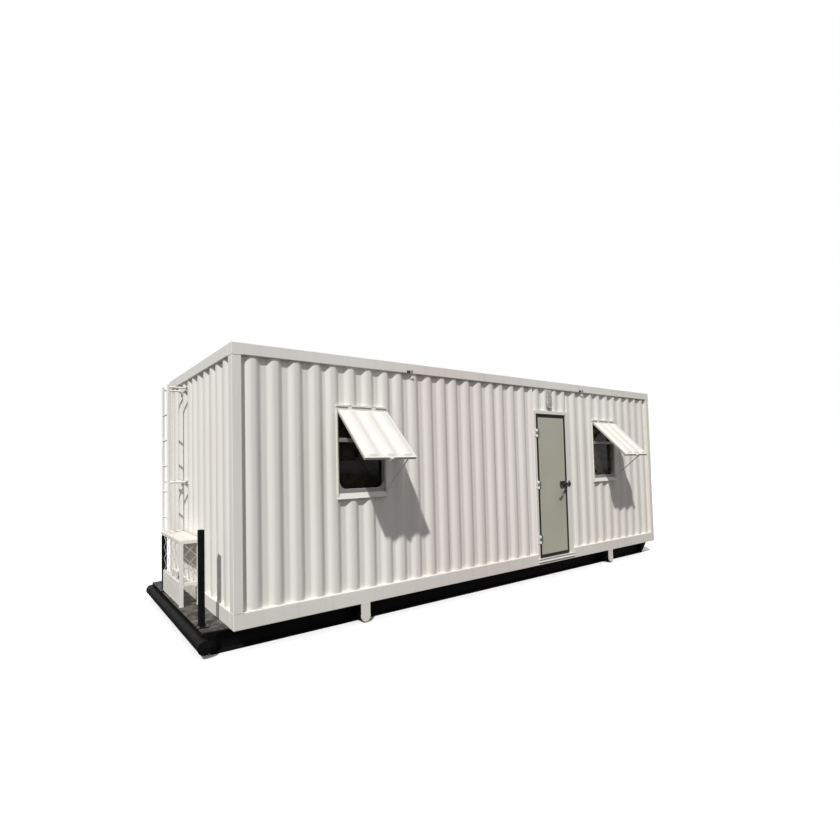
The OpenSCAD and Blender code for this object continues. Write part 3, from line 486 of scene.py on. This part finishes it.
toEnd = add("SUBTRACT", [halfLength, add("ABSOLUTE", [spot.outputs[1]])])
ribStart = add("ADD", [given["Hem"], given["Rib End"]])
alongRib = add("MapRange", [toEnd, given["Hem"], ribStart, 0.0, 1.0], interpolation_type="SMOOTHSTEP")
swell = add("MULTIPLY", [acrossRib, alongRib])
rise = add("MULTIPLY", [swell, given["Rib Height"]])
pressed = add("SetPosition", {0: grid, "Offset": add("CombineXYZ", {2: rise})})
rounded = add("SetShadeSmooth", [pressed])
border = add("Compare", {2: add("InputMeshEdgeNeighbors"), 3: 1}, data_type="INT", operation="EQUAL")
down = add("CombineXYZ", {2: add("MULTIPLY", [given["Edge"], -1.0])})
folded = add("ExtrudeMesh", {"Mesh": rounded, "Selection": border, "Offset": down}, mode="EDGES")
creased = creaseEdges(add, folded, pan["crease"])
toCorner = add("CombineXYZ", [halfWidth, halfLength])
closeTree(add, given, add("Transform", {0: creased, "Translation": toCorner}))

slope = math.radians(pan["degrees"])
for node in ("shutter_left", "shutter_right"):
    low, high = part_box(node)
    hingeY = high.y - pan["Edge"] * math.cos(slope)
    footAt = (low.x, hingeY - pan["Length"] * math.sin(slope), high.z - pan["Length"] * math.cos(slope))
    growPiece(titled(node) + "Pan", press, {
        **pan, "Width": high.x - low.x, "Place": footAt, "Turn": (math.radians(90) - slope, 0, 0)},
        node=node, wall=pan["sheet"])


# diamond wire netting: upright zigzag wires whose bends hook into each other
netting = {"Wire": 0.0060, "outerHalfCell": 0.095, "sideHalfCell": 0.072, "cellHeight": 0.133, "in": 0.001}
net, add, given = newTree("diamondNetting", {
    "Float": "Width, Height, Wire", "Int": "Columns, Rows", "Vector": "Place, Turn"})
bends = add("ADD", [given["Rows"], 1.0])
knots = add("MeshGrid", {"Vertices X": given["Columns"], "Vertices Y": bends})
index = add("InputIndex")
wireNumber = add("FLOOR", [add("DIVIDE", [index, bends])])
bendNumber = add("MODULO", [index, bends])
odd = add("MODULO", [add("ADD", [wireNumber, bendNumber]), 2.0])
cell = add("DIVIDE", [given["Width"], given["Columns"]])
side = add("ADD", [wireNumber, odd])
x = add("MULTIPLY", [side, cell])
rowHeight = add("DIVIDE", [given["Height"], given["Rows"]])
z = add("MULTIPLY", [bendNumber, rowHeight])
oddWire = add("MODULO", [wireNumber, 2.0])
y = add("MULTIPLY", [oddWire, given["Wire"]])
knotAt = add("CombineXYZ", [x, y, z])
placed = add("SetPosition", {0: knots, "Position": knotAt})
dots = add("MeshToPoints", [placed])
strung = add("PointsToCurves", [dots, wireNumber, bendNumber])
wireRadius = add("MULTIPLY", [given["Wire"], 0.5])
section = add("CurvePrimitiveCircle", {"Resolution": 5, "Radius": wireRadius})
closeTree(add, given, add("CurveToMesh", {0: strung, 1: section, "Fill Caps": True}))

for node, turn in (("guard_mesh_outer", 90), ("guard_mesh_side", 0)):
    low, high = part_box(node)
    size = high - low
    width = size.y if turn else size.x
    start = (high.x - netting["in"], low.y, low.z) if turn else (low.x, low.y + netting["in"], low.z)
    halfCell = netting["outerHalfCell"] if turn else netting["sideHalfCell"]
    growPiece(titled(node) + "Netting", net, {
        **netting, "Width": width, "Height": size.z, "Columns": round(width / halfCell),
        "Rows": 2 * round(size.z / netting["cellHeight"]), "Place": start,
        "Turn": (0, 0, math.radians(turn))}, node=node)


# round rods and beads that follow a path, with the path's corners rounded
rod, add, given = newTree("roundRod", {"Float": "Diameter, Corner", "Int": "Sides"})
path = add("MeshToCurve", [given[0]])
bent = add("FilletCurve", {0: path, "Radius": given["Corner"], "Count": 5, "Limit Radius": True}, mode="POLY")
radius = add("MULTIPLY", [given["Diameter"], 0.5])
section = add("CurvePrimitiveCircle", {"Resolution": given["Sides"], "Radius": radius})
drawn = add("CurveToMesh", {0: bent, 1: section, "Fill Caps": True})
closeTree(add, given, add("SetShadeSmooth", [drawn]))


# weld beads: overlapping blobs along a path, each a little different
bead, add, given = newTree("weldBead", {"Float": "Radius, Spacing", "Int": "Seed"})
path = add("MeshToCurve", [given[0]])
steps = add("ResampleCurve", {0: path, "Length": given["Spacing"]}, mode="LENGTH")
blob = add("MeshIcoSphere", {"Radius": given["Radius"], "Subdivisions": 1})
soft = add("SetShadeSmooth", [blob])
turned = add("AlignRotationToVector", {"Vector": add("InputTangent")}, axis="X")
uneven = add("RandomValue", {"Seed": given["Seed"], "Min": (0.65, 0.85, 0.85), "Max": (0.85, 1.15, 1.15)},
             data_type="FLOAT_VECTOR")
laid = add("InstanceOnPoints", {0: steps, "Instance": soft, "Rotation": turned, "Scale": uneven})
closeTree(add, given, laid)


# screws and bolts: a head that can taper, with any number of sides, on a thin round washer
fixing, add, given = newTree("fixing", {
    "Float": "Head, Height, Taper, Washer, Washer Height", "Int": "Sides"})
headRadius = add("MULTIPLY", [given["Head"], 0.5])
topRadius = add("MULTIPLY", [headRadius, given["Taper"]])
washerRadius = add("MULTIPLY", [given["Washer"], 0.5])
head = add("MeshCone", {"Vertices": given["Sides"], "Radius Top": topRadius, "Radius Bottom": headRadius,
                        "Depth": given["Height"]})
overWasher = add("CombineXYZ", {2: given["Washer Height"]})
headUp = add("Transform", {0: head, "Translation": overWasher})
washer = add("MeshCone", {"Vertices": 16, "Radius Top": washerRadius, "Radius Bottom": washerRadius,
                          "Depth": given["Washer Height"]})
joined = add("JoinGeometry", [headUp])
feed(joined, {0: washer})
outwards = add("InputNamedAttribute", {"Name": "facing"}, data_type="FLOAT_VECTOR")
faced = add("AlignRotationToVector", {"Vector": outwards}, axis="Z")
driven = add("InstanceOnPoints", {0: given[0], "Instance": joined, "Rotation": faced})
closeTree(add, given, driven)


# deck lugs: short lens-shaped bars, each turned a quarter circle from its neighbours
lugs, add, given = newTree("treadLugs", {
    "Float": "Length, Width", "Int": "Columns, Rows", "Vector": "Lug, Place"})
spots = add("MeshGrid", {"Size X": given["Length"], "Size Y": given["Width"], "Vertices X": given["Columns"],
                         "Vertices Y": given["Rows"]})
index = add("InputIndex")
column = add("FLOOR", [add("DIVIDE", [index, given["Rows"]])])
row = add("MODULO", [index, given["Rows"]])
odd = add("MODULO", [add("ADD", [column, row]), 2.0])
quarter = add("MapRange", {0: odd, "To Min": math.radians(45), "To Max": math.radians(-45)})
spin = add("CombineXYZ", {2: quarter})
lens = add("MeshIcoSphere", {"Radius": 1.0, "Subdivisions": 1})
pressedLugs = add("InstanceOnPoints", {0: spots, "Instance": lens, "Rotation": spin, "Scale": given["Lug"]})
closeTree(add, given, add("Transform", {0: pressedLugs, "Translation": given["Place"]}))
print("node trees built")


def pathMesh(paths, closed=False):
    # polylines as loose edges, for the trees that follow a path
    points, edges = [], []
    for line in paths:
        first = len(points)
        points += [tuple(p) for p in line]
        edges += [(first + i, first + i + 1) for i in range(len(line) - 1)]
        if closed:
            edges.append((first + len(line) - 1, first))
    mesh = bpy.data.meshes.new("paths")
    mesh.from_pydata(points, edges, [])
    return mesh


def spotMesh(spots):
    # (point, outward direction) pairs as loose points, for the fixings
    mesh = bpy.data.meshes.new("spots")
    mesh.from_pydata([tuple(p) for p, way in spots], [], [])
    facing = mesh.attributes.new("facing", "FLOAT_VECTOR", "POINT")
    for i, (p, way) in enumerate(spots):
        facing.data[i].vector = way
    return mesh


def plainPiece(name, shape, slot="white_painted_steel", body="cabin", node=None):
    # a bmesh becomes a finished piece
    bmesh.ops.recalc_face_normals(shape, faces=shape.faces[:])
    for face in shape.faces:
        face.smooth = False
    mesh = bpy.data.meshes.new(name)
    shape.to_mesh(mesh)
    shape.free()
    mesh.materials.append(slotFinish[slot])
    obj = bpy.data.objects.new(name, mesh)
    scene.collection.objects.link(obj)
    keepPiece(obj, body, node)


def roundBox(shape, low, high, radius, segments=3):
    # adds a box with rounded edges to a bmesh
    low, high = Vector(low), Vector(high)
    corners = bmesh.ops.create_cube(shape, size=1.0)["verts"]
    for corner in corners:
        corner.co = [low[i] + (corner.co[i] + 0.5) * (high[i] - low[i]) for i in range(3)]
    edges = {edge for corner in corners for edge in corner.link_edges}
    bmesh.ops.bevel(shape, geom=list(edges), offset=radius, segments=segments, profile=0.5, affect="EDGES")


def roundPrism(shape, outline, start, depth, radius, segments=3):
    # adds a prism to a bmesh: (x, z) points drawn forwards from y = start, its front edge rounded
    back = [shape.verts.new((x, start, z)) for x, z in outline]
    front = [shape.verts.new((x, start - depth, z)) for x, z in outline]
    count = len(outline)
    shape.faces.new(back)
    face = shape.faces.new(list(reversed(front)))
    for i in range(count):
        shape.faces.new((back[i], front[i], front[(i + 1) % count], back[(i + 1) % count]))
    bmesh.ops.bevel(shape, geom=list(face.edges), offset=radius, segments=segments, profile=0.5,
                    affect="EDGES")


def boxPiece(name, boxes, radius, node=None, slot="white_painted_steel", segments=3):
    # rounded boxes, given by their low and high corners, as one piece
    shape = bmesh.new()
    for low, high in boxes:
        roundBox(shape, low, high, radius, segments)
    plainPiece(name, shape, slot, node=node)


def arc(x, z, radius, degrees):
    # (x, z) points on a circle
    turns = [math.radians(d) for d in degrees]
    return [(x + radius * math.cos(a), z + radius * math.sin(a)) for a in turns]


def spread(low, high, inset, count=2):
    # evenly spaced values that keep this far from both ends
    start, stop = low + inset, high - inset
    return [start + (stop - start) * i / (count - 1) for i in range(count)]


# rails, posts and frames: rolled tube with rounded edges
tube = {"railRadius": 0.007, "postSide": 0.095, "barSide": 0.038, "barRadius": 0.004, "guardSide": 0.052,
        "flangeSide": 0.110, "flangeHeight": 0.010, "plateRadius": 0.002, "underStep": 0.005}
for node in ("top_rail_front", "top_rail_back", "top_rail_left", "top_rail_right", "bottom_rail_back",
             "bottom_rail_left", "bottom_rail_right"):
    boxPiece(titled(node) + "Tube", [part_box(node)], tube["railRadius"], node)

lowRail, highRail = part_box("bottom_rail_front")
lowStep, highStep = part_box("door_threshold")
boxPiece("BottomRailFrontTube", [
    (lowRail, (lowStep.x, highRail.y, highRail.z)),
    ((highStep.x, lowRail.y, lowRail.z), highRail),
    ((lowStep.x, lowRail.y, lowRail.z), (highStep.x, highRail.y, highStep.z - tube["underStep"])),
], tube["railRadius"], "bottom_rail_front")

lowPost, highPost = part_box("corner_posts")
side = tube["postSide"]
boxPiece("CornerPostTubes", [
    ((x, y, lowPost.z), (x + side, y + side, highPost.z))
    for x in (lowPost.x, highPost.x - side) for y in (lowPost.y, highPost.y - side)
], tube["railRadius"], "corner_posts")

lowGuard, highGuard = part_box("guard_posts")
lowCage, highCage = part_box("mesh_guard_frame")
bar, flange = tube["barSide"], tube["flangeSide"]
inset = (flange - tube["guardSide"]) / 2
flangeTop = lowGuard.z + tube["flangeHeight"]
postTops = {lowGuard.y: highGuard.z, highGuard.y - flange: highCage.z - bar}
shape = bmesh.new()
for y, top in postTops.items():
    roundBox(shape, (lowGuard.x, y, lowGuard.z), (highGuard.x, y + flange, flangeTop), tube["plateRadius"])
    roundBox(shape, (lowGuard.x + inset, y + inset, flangeTop),
             (highGuard.x - inset, y + flange - inset, top), tube["barRadius"])
plainPiece("GuardPostTubes", shape, "black_painted_steel", node="guard_posts")

lowNet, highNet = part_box("guard_mesh_outer")
nearX, farX = lowCage.x + bar, highCage.x - bar  # the inner faces of the cage's bars
inY, topZ, midZ = lowCage.y + bar, highCage.z - bar, lowNet.z - bar
boxPiece("MeshGuardBars", [
    (lowCage, (nearX, inY, topZ)),
    ((farX, lowCage.y, lowCage.z), (highCage.x, inY, topZ)),
    ((lowCage.x, lowCage.y, topZ), (nearX, highCage.y, highCage.z)),
    ((lowCage.x, inY, midZ), (nearX, highNet.y, lowNet.z)),
    ((nearX, lowCage.y, topZ), (highCage.x, inY, highCage.z)),
    ((nearX, lowCage.y, midZ), (farX, inY, lowNet.z)),
], tube["barRadius"], "mesh_guard_frame")

# thin cover sheet laid over the cage, riveted along its edge
cover = {"sheet": 0.003, "in": 0.004, "radius": 0.001, "rivetPitch": 0.145, "rivetIn": 0.02}
boxPiece("CageCoverSheet", [((lowCage.x + cover["in"], lowCage.y + cover["in"], highCage.z),
                             (highCage.x, highCage.y - cover["in"], highCage.z + cover["sheet"]))],
         cover["radius"], segments=2)

# windows: a frame with a slot under its head and a sill that leans back, a nosing on the sash, glazing beads
window = {"slot": (0.020, 0.036), "slotDepth": 0.016, "side": 0.016, "head": 0.052, "headOut": 0.004,
          "sill": 0.060, "sillOut": 0.006, "lean": 0.022, "radius": 0.002, "sashBar": 0.018,
          "sashFoot": 0.038, "lowerLight": 0.492, "transom": 0.038, "lightCorner": 0.090, "nose": 0.022,
          "noseRadius": 0.003, "webIn": 0.001, "webRadius": 0.001}
glazing = {"Diameter": 0.009, "Sides": 8, "Corner": 0.004}
beadPaths = []
for name in ("left", "right"):
    low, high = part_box("window_frame_" + name)
    front = low.y + window["sillOut"]
    slotTop, slotFoot = high.z - window["slot"][0], high.z - window["slot"][1]
    headFoot = high.z - window["head"]
    shape = bmesh.new()
    roundBox(shape, low, (high.x, high.y, low.z + window["sill"]), window["radius"])
    for corner in shape.verts:  # the sill's face leans back
        if corner.co.y < (low.y + high.y) / 2:
            corner.co.y += window["lean"] * (corner.co.z - low.z) / window["sill"]
    bars = [((low.x, front - window["headOut"], slotTop), high),
            ((low.x, front + window["slotDepth"], slotFoot), (high.x, high.y, slotTop)),
            ((low.x, front, headFoot), (high.x, high.y, slotFoot))]
    bars += [((x, front, low.z + window["sill"] / 2), (x + window["side"], high.y, headFoot))
             for x in (low.x, high.x - window["side"])]
    for lowBar, highBar in bars:
        roundBox(shape, lowBar, highBar, window["radius"])
    plainPiece("WindowFrame" + name.title() + "Bars", shape, node="window_frame_" + name)

    low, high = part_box("window_sash_" + name)
    r, ahead = window["lightCorner"], low.y - window["nose"]
    x0, x1 = low.x + window["sashBar"], high.x - window["sashBar"]
    z0 = low.z + window["sashFoot"]
    z1 = z0 + window["lowerLight"]
    z2 = z1 + window["transom"]
    z3 = high.z - window["sashBar"]
    lower = [(x0, z1), (x1, z1)] + arc(x1 - r, z0 + r, r, range(0, -91, -15))
    lower += arc(x0 + r, z0 + r, r, range(-90, -181, -15))
    beadPaths.append([(x, low.y, z) for x, z in lower])
    beadPaths.append([(x0, low.y, z2), (x1, low.y, z2), (x1, low.y, z3), (x0, low.y, z3)])
    shape = bmesh.new()
    noseBars = [(low.x, low.z, high.x, z0), (low.x, z3, high.x, high.z), (x0, z1, x1, z2),
                (low.x, z0, low.x + window["sashBar"], z3), (x1, z0, x1 + window["sashBar"], z3)]
    for xa, za, xb, zb in noseBars:
        roundBox(shape, (xa, ahead, za), (xb, low.y, zb), window["noseRadius"])
    for x, way in ((x0, 1), (x1, -1)):  # rounded webs in the lower light's bottom corners
        web = arc(x + way * r, z0 + r, r, [270 - way * d for d in range(0, 91, 10)])
        roundPrism(shape, [(x, z0)] + web, low.y, window["nose"] - window["webIn"], window["webRadius"], 1)
    plainPiece("SashNosing" + name.title(), shape, "aluminium_sash")
growPiece("GlazingBeads", rod, glazing, "aluminium_sash", pathMesh(beadPaths, True))

# door gasket: two round lips on the flat rubber
lips = {"Diameter": 0.010, "Sides": 8, "Corner": 0.012, "width": 0.040, "in": 0.007}
low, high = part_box("door_gasket")
lipPaths = [[(low.x + d, low.y, low.z + d), (high.x - d, low.y, low.z + d), (high.x - d, low.y, high.z - d),
             (low.x + d, low.y, high.z - d)] for d in (lips["in"], lips["width"] - lips["in"])]
growPiece("DoorGasketLips", rod, lips, "black_rubber", pathMesh(lipPaths, True), "door")

# hooks on the roof rail: a bent rod on a small plate, the bends set out across and up from the hook's place
hook = {"Diameter": 0.010, "Sides": 8, "Corner": 0.008, "in": 0.032, "plateX": (-0.032, 0.018),
        "plateZ": (0.003, 0.031), "plate": 0.006, "radius": 0.002, "sunk": 0.004, "out": 0.006,
        "bends": ((-0.020, 0.020), (0.026, 0.024), (0.026, 0.006), (0.008, 0.006))}
low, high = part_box("roof_rail_hooks")
plates, hookPaths = [], []
for x in spread(low.x, high.x, hook["in"]):
    plates.append(((x + hook["plateX"][0], high.y - hook["plate"], low.z + hook["plateZ"][0]),
                   (x + hook["plateX"][1], high.y, low.z + hook["plateZ"][1])))
    bent = [(x + across, low.y + hook["out"], low.z + up) for across, up in hook["bends"]]
    hookPaths.append([(bent[0][0], high.y - hook["sunk"], bent[0][2])] + bent)
boxPiece("RoofRailHookPlates", plates, hook["radius"], "roof_rail_hooks", "black_lock_steel")
growPiece("RoofRailHookRods", rod, hook, "black_lock_steel", pathMesh(hookPaths))


# lamp over the door: a base tray and a ribbed diffuser, both with a round lower end
lamp = {"base": 0.012, "baseRadius": 0.003, "rim": 0.012, "lens": 0.022, "lensRadius": 0.014}
lampRib = {"Diameter": 0.006, "Sides": 6, "Corner": 0.015, "count": 8, "sunk": 0.001}
low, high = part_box("door_lamp")
middle, halfLamp = (low.x + high.x) / 2, (high.x - low.x) / 2
roundAt = low.z + halfLamp  # the height where the round end starts


def lampOutline(inwards):
    half = halfLamp - inwards
    top = high.z - inwards
    return arc(middle, roundAt, half, range(180, 361, 10)) + [(middle + half, top), (middle - half, top)]


lensBack = high.y - lamp["base"]
shape = bmesh.new()
roundPrism(shape, lampOutline(0.0), high.y, lamp["base"], lamp["baseRadius"])
roundPrism(shape, lampOutline(lamp["rim"]), lensBack, lamp["lens"], lamp["lensRadius"], 5)
plainPiece("DoorLampBody", shape, "grey_lamp_plastic", node="door_lamp")
lensFront = lensBack - lamp["lens"] + lampRib["sunk"]
x0, x1 = middle - (halfLamp - lamp["rim"]), middle + (halfLamp - lamp["rim"])
ribPaths = [[(x0, lensBack, z), (x0, lensFront, z), (x1, lensFront, z), (x1, lensBack, z)]
            for z in spread(roundAt, high.z - lamp["rim"] * 2, 0.0, lampRib["count"])]
growPiece("DoorLampRibs", rod, lampRib, "grey_lamp_plastic", pathMesh(ribPaths))

# lock: rounded case with a turned knob, a hasp over the jamb, and a bent lever on a rose
# the lever's bends are set out to the left of its rose and below it
lock = {"case": (0.150, 0.017, 0.088), "caseRadius": 0.005, "set": 0.026, "hasp": (0.125, 0.006, 0.030),
        "haspRadius": 0.002, "knob": 0.040, "knobOut": 0.026, "knobRadius": 0.006, "rose": 0.040,
        "roseOut": 0.016, "roseRadius": 0.004, "drop": 0.096}
lever = {"Diameter": 0.013, "Sides": 10, "Corner": 0.022, "root": 0.008, "bends": (
    (0.0, 0.0), (0.045, 0.006), (0.070, 0.030), (0.105, 0.085), (0.125, 0.100), (0.168, 0.106))}
around = list(range(0, 360, 15))
lowLeaf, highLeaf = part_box("door_leaf")
low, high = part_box("door_lock")
caseWide, caseOut, caseTall = lock["case"]
haspWide, haspOut, haspTall = lock["hasp"]
edge, face = highLeaf.x - lock["set"], lowLeaf.y
caseFront = face - caseOut
lockZ = high.z - caseTall / 2
knobX, roseX, roseZ = edge - caseWide / 2, edge - lock["rose"] / 2, lockZ - lock["drop"]
shape = bmesh.new()
roundBox(shape, (edge - caseWide, caseFront, lockZ - caseTall / 2), (edge, face, high.z), lock["caseRadius"])
roundBox(shape, (high.x - haspWide, caseFront - haspOut, lockZ - haspTall / 2),
         (high.x, caseFront, lockZ + haspTall / 2), lock["haspRadius"])
roundPrism(shape, arc(knobX, lockZ, lock["knob"] / 2, around), caseFront, lock["knobOut"], lock["knobRadius"])
roundPrism(shape, arc(roseX, roseZ, lock["rose"] / 2, around), face, lock["roseOut"], lock["roseRadius"])
plainPiece("DoorLockCase", shape, "black_lock_steel", "door", "door_lock")
leverPath = [(roseX, face - lever["root"], roseZ)]
leverPath += [(roseX - across, face - lock["roseOut"], roseZ - down) for across, down in lever["bends"]]
growPiece("DoorLockLever", rod, lever, "black_lock_steel", pathMesh([leverPath]), "door")


# sealant along the foot of the corrugated walls, following their waves
seal = {"Diameter": 0.010, "Sides": 6, "Corner": 0.0, "pointGap": 0.014}


def waveFall(x, rule):
    # how far the sheet has fallen back from its crests at x
    x -= rule["Start"]
    x -= max(math.floor(x / rule["Sheet"]), 0) * rule["Sheet"] + rule["First"]
    off = abs(x - min(max(round(x / rule["Step"]), 0), rule["Last Ridge"]) * rule["Step"])
    share = min(2 * off / sheet["Foot"], 1.0) ** sheet["Bias"]
    return sheet["Depth"] * share * share * (3 - 2 * share)


sealPaths = []
for node, turn in wallTurns.items():
    if node == "front_wall_over_door":
        continue
    low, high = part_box(node)
    length = high.y - low.y if abs(turn) == 90 else high.x - low.x
    rule = ridgeRule(node, length)
    gaps = int(length / seal["pointGap"])
    line = []
    for i in range(gaps + 1):
        x = length * i / gaps
        fall = waveFall(x, rule)
        line.append({0: (low.x + x, low.y + fall, low.z), 180: (high.x - x, high.y - fall, low.z),
                     -90: (low.x + fall, high.y - x, low.z), 90: (high.x - fall, low.y + x, low.z)}[turn])
    sealPaths.append(line)
growPiece("WallFootSealant", rod, seal, mesh=pathMesh(sealPaths))

# welds on the white frame and on the black posts
weld = {"Radius": 0.0036, "Spacing": 0.0045, "Seed": 7, "postIn": 0.006, "capMiddle": 0.058, "capHalf": 0.055}
whiteWelds = []
for z in (lowPost.z, highPost.z):
    for x, way in ((lowPost.x, 1), (highPost.x, -1)):
        for y, turn in ((lowPost.y, 1), (highPost.y, -1)):
            whiteWelds.append([(x + way * tube["postSide"], y, z), (x + way * weld["postIn"], y, z)])
            whiteWelds.append([(x, y + turn * weld["postIn"], z), (x, y + turn * tube["postSide"], z)])
lowCap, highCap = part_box("lifting_tube_caps")
for x in spread(lowCap.x, highCap.x, weld["capMiddle"]):
    for y in (lowCap.y, highCap.y):
        whiteWelds.append([(x - weld["capHalf"], y, highCap.z), (x + weld["capHalf"], y, highCap.z)])


def aroundBar(x0, y0, x1, y1, z):
    return [(x0, y0, z), (x1, y0, z), (x1, y1, z), (x0, y1, z), (x0, y0, z)]


for x in (lowCage.x, farX):
    whiteWelds.append(aroundBar(x, lowCage.y, x + bar, inY, lowCage.z))
for z in (midZ, lowNet.z, highNet.z):
    for x in (nearX, farX):
        whiteWelds.append([(x, lowCage.y, z), (x, inY, z)])
    whiteWelds.append([(lowCage.x, inY, z), (nearX, inY, z)])
growPiece("FrameWelds", bead, weld, mesh=pathMesh(whiteWelds))
blackWelds = [aroundBar(lowGuard.x + inset, y + inset, highGuard.x - inset, y + flange - inset, flangeTop)
              for y in postTops]
lowPipe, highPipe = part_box("tow_pipe")
pipeX, pipeZ = (lowPipe.x + highPipe.x) / 2, (lowPipe.z + highPipe.z) / 2
pipeR = (highPipe.x - lowPipe.x) / 2
for y in (lowPipe.y, highPipe.y):
    blackWelds.append([(x, y, z) for x, z in arc(pipeX, pipeZ, pipeR, around + [0])])
growPiece("BlackWelds", bead, {**weld, "Seed": weld["Seed"] + 1}, "black_painted_steel", pathMesh(blackWelds))

# tread lugs on the porch deck
tread = {"Lug": (0.015, 0.0045, 0.0025), "pitch": 0.038, "edge": 0.03}
low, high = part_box("porch_deck")
length, width = high.x - low.x - 2 * tread["edge"], high.y - low.y - 2 * tread["edge"]
growPiece("DeckLugs", lugs, {
    **tread, "Length": length, "Width": width, "Columns": round(length / tread["pitch"]) + 1,
    "Rows": round(width / tread["pitch"]) + 1,
    "Place": ((low.x + high.x) / 2, (low.y + high.y) / 2, high.z)}, "deck_plate")

# fixings: pan screws, and hex bolts through the flanges and ladder straps
screw = {"Head": 0.011, "Height": 0.004, "Taper": 0.6, "Sides": 12, "Washer": 0.014, "Washer Height": 0.001}
bolt = {"Head": 0.020, "Height": 0.011, "Taper": 1.0, "Sides": 6, "Washer": 0.030, "Washer Height": 0.003}
setOut = {"sideShares": (0.1, 0.3, 0.5, 0.7, 0.9), "headShares": (0.1, 0.5, 0.9), "headDown": 0.010,
          "hingeShares": (0.127, 0.506, 0.868), "hingeScrews": (-0.038, 0.0, 0.038), "hingeLeaf": 0.004,
          "frameHingeIn": 0.012, "doorHingeIn": 0.016, "caseIn": 0.012, "caseUp": 0.032,
          "stapleLeaf": 0.005, "stapleIn": 0.010, "kickScrews": 7, "kickEnd": 0.03, "kickIn": 0.02,
          "stepScrews": 4, "stepEnd": 0.1, "stepIn": 0.05, "flangeIn": 0.014, "strapIn": 0.022,
          "strapSheet": 0.008}
forward, upward, left = (0, -1, 0), (0, 0, 1), (-1, 0, 0)


def spotsAt(xs, ys, zs, way):
    return [((x, y, z), way) for x in xs for y in ys for z in zs]


cabinScrews, doorScrews, bolts = [], [], []
for name in ("left", "right"):
    low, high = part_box("window_frame_" + name)
    front, size = low.y + window["sillOut"], high - low
    foot, run = low.z + window["sill"], size.z - window["sill"] - window["head"]
    cabinScrews += spotsAt(spread(low.x, high.x, window["side"] / 2), [front],
                           [foot + run * share for share in setOut["sideShares"]], forward)
    cabinScrews += spotsAt([low.x + size.x * share for share in setOut["headShares"]],
                           [front - window["headOut"]], [high.z - setOut["headDown"]], forward)
leafRun = highLeaf.z - lowLeaf.z
hingeZ = [lowLeaf.z + leafRun * share + dz for share in setOut["hingeShares"] for dz in setOut["hingeScrews"]]
low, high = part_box("door_frame_hinges")
cabinScrews += spotsAt([low.x + setOut["frameHingeIn"]], [high.y - setOut["hingeLeaf"]], hingeZ, forward)
low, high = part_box("door_hinge_leaves")
doorScrews += spotsAt([high.x - setOut["doorHingeIn"]], [face - setOut["hingeLeaf"]], hingeZ, forward)
doorScrews += spotsAt(spread(edge - caseWide, edge, setOut["caseIn"]), [caseFront],
                      [lockZ - setOut["caseUp"], lockZ + setOut["caseUp"]], forward)
low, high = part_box("door_staple")
cabinScrews += spotsAt([(low.x + high.x) / 2], [low.y + setOut["stapleLeaf"]],
                       spread(low.z, high.z, setOut["stapleIn"]), forward)
low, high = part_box("kick_plate")
cabinScrews += spotsAt([low.x], spread(low.y, high.y, setOut["kickEnd"], setOut["kickScrews"]),
                       spread(low.z, high.z, setOut["kickIn"]), left)
stepEnd = (highStep.x - lowStep.x) * setOut["stepEnd"]
cabinScrews += spotsAt(spread(lowStep.x, highStep.x, stepEnd, setOut["stepScrews"]),
                       [lowStep.y + setOut["stepIn"]], [highStep.z], upward)
rivets = round((highCage.y - lowCage.y) / cover["rivetPitch"]) + 1
cabinScrews += spotsAt([lowCage.x + bar / 2], spread(lowCage.y, highCage.y, cover["rivetIn"], rivets),
                       [highCage.z + cover["sheet"]], upward)
inFlange = spread(0.0, flange, setOut["flangeIn"])
bolts += spotsAt([lowGuard.x + d for d in inFlange], [y + d for y in postTops for d in inFlange],
                 [flangeTop], upward)
low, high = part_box("ladder_brackets")
bolts += spotsAt([high.x - setOut["strapSheet"]], spread(low.y, high.y, setOut["strapIn"]),
                 spread(low.z, high.z, setOut["strapIn"]), left)
growPiece("CabinScrews", fixing, screw, mesh=spotMesh(cabinScrews))
growPiece("DoorScrews", fixing, screw, "galvanised_steel", spotMesh(doorScrews), "door")
growPiece("FlangeBolts", fixing, bolt, "galvanised_steel", spotMesh(bolts))
print("fixings:", len(cabinScrews) + len(doorScrews), "screws,", len(bolts), "bolts")
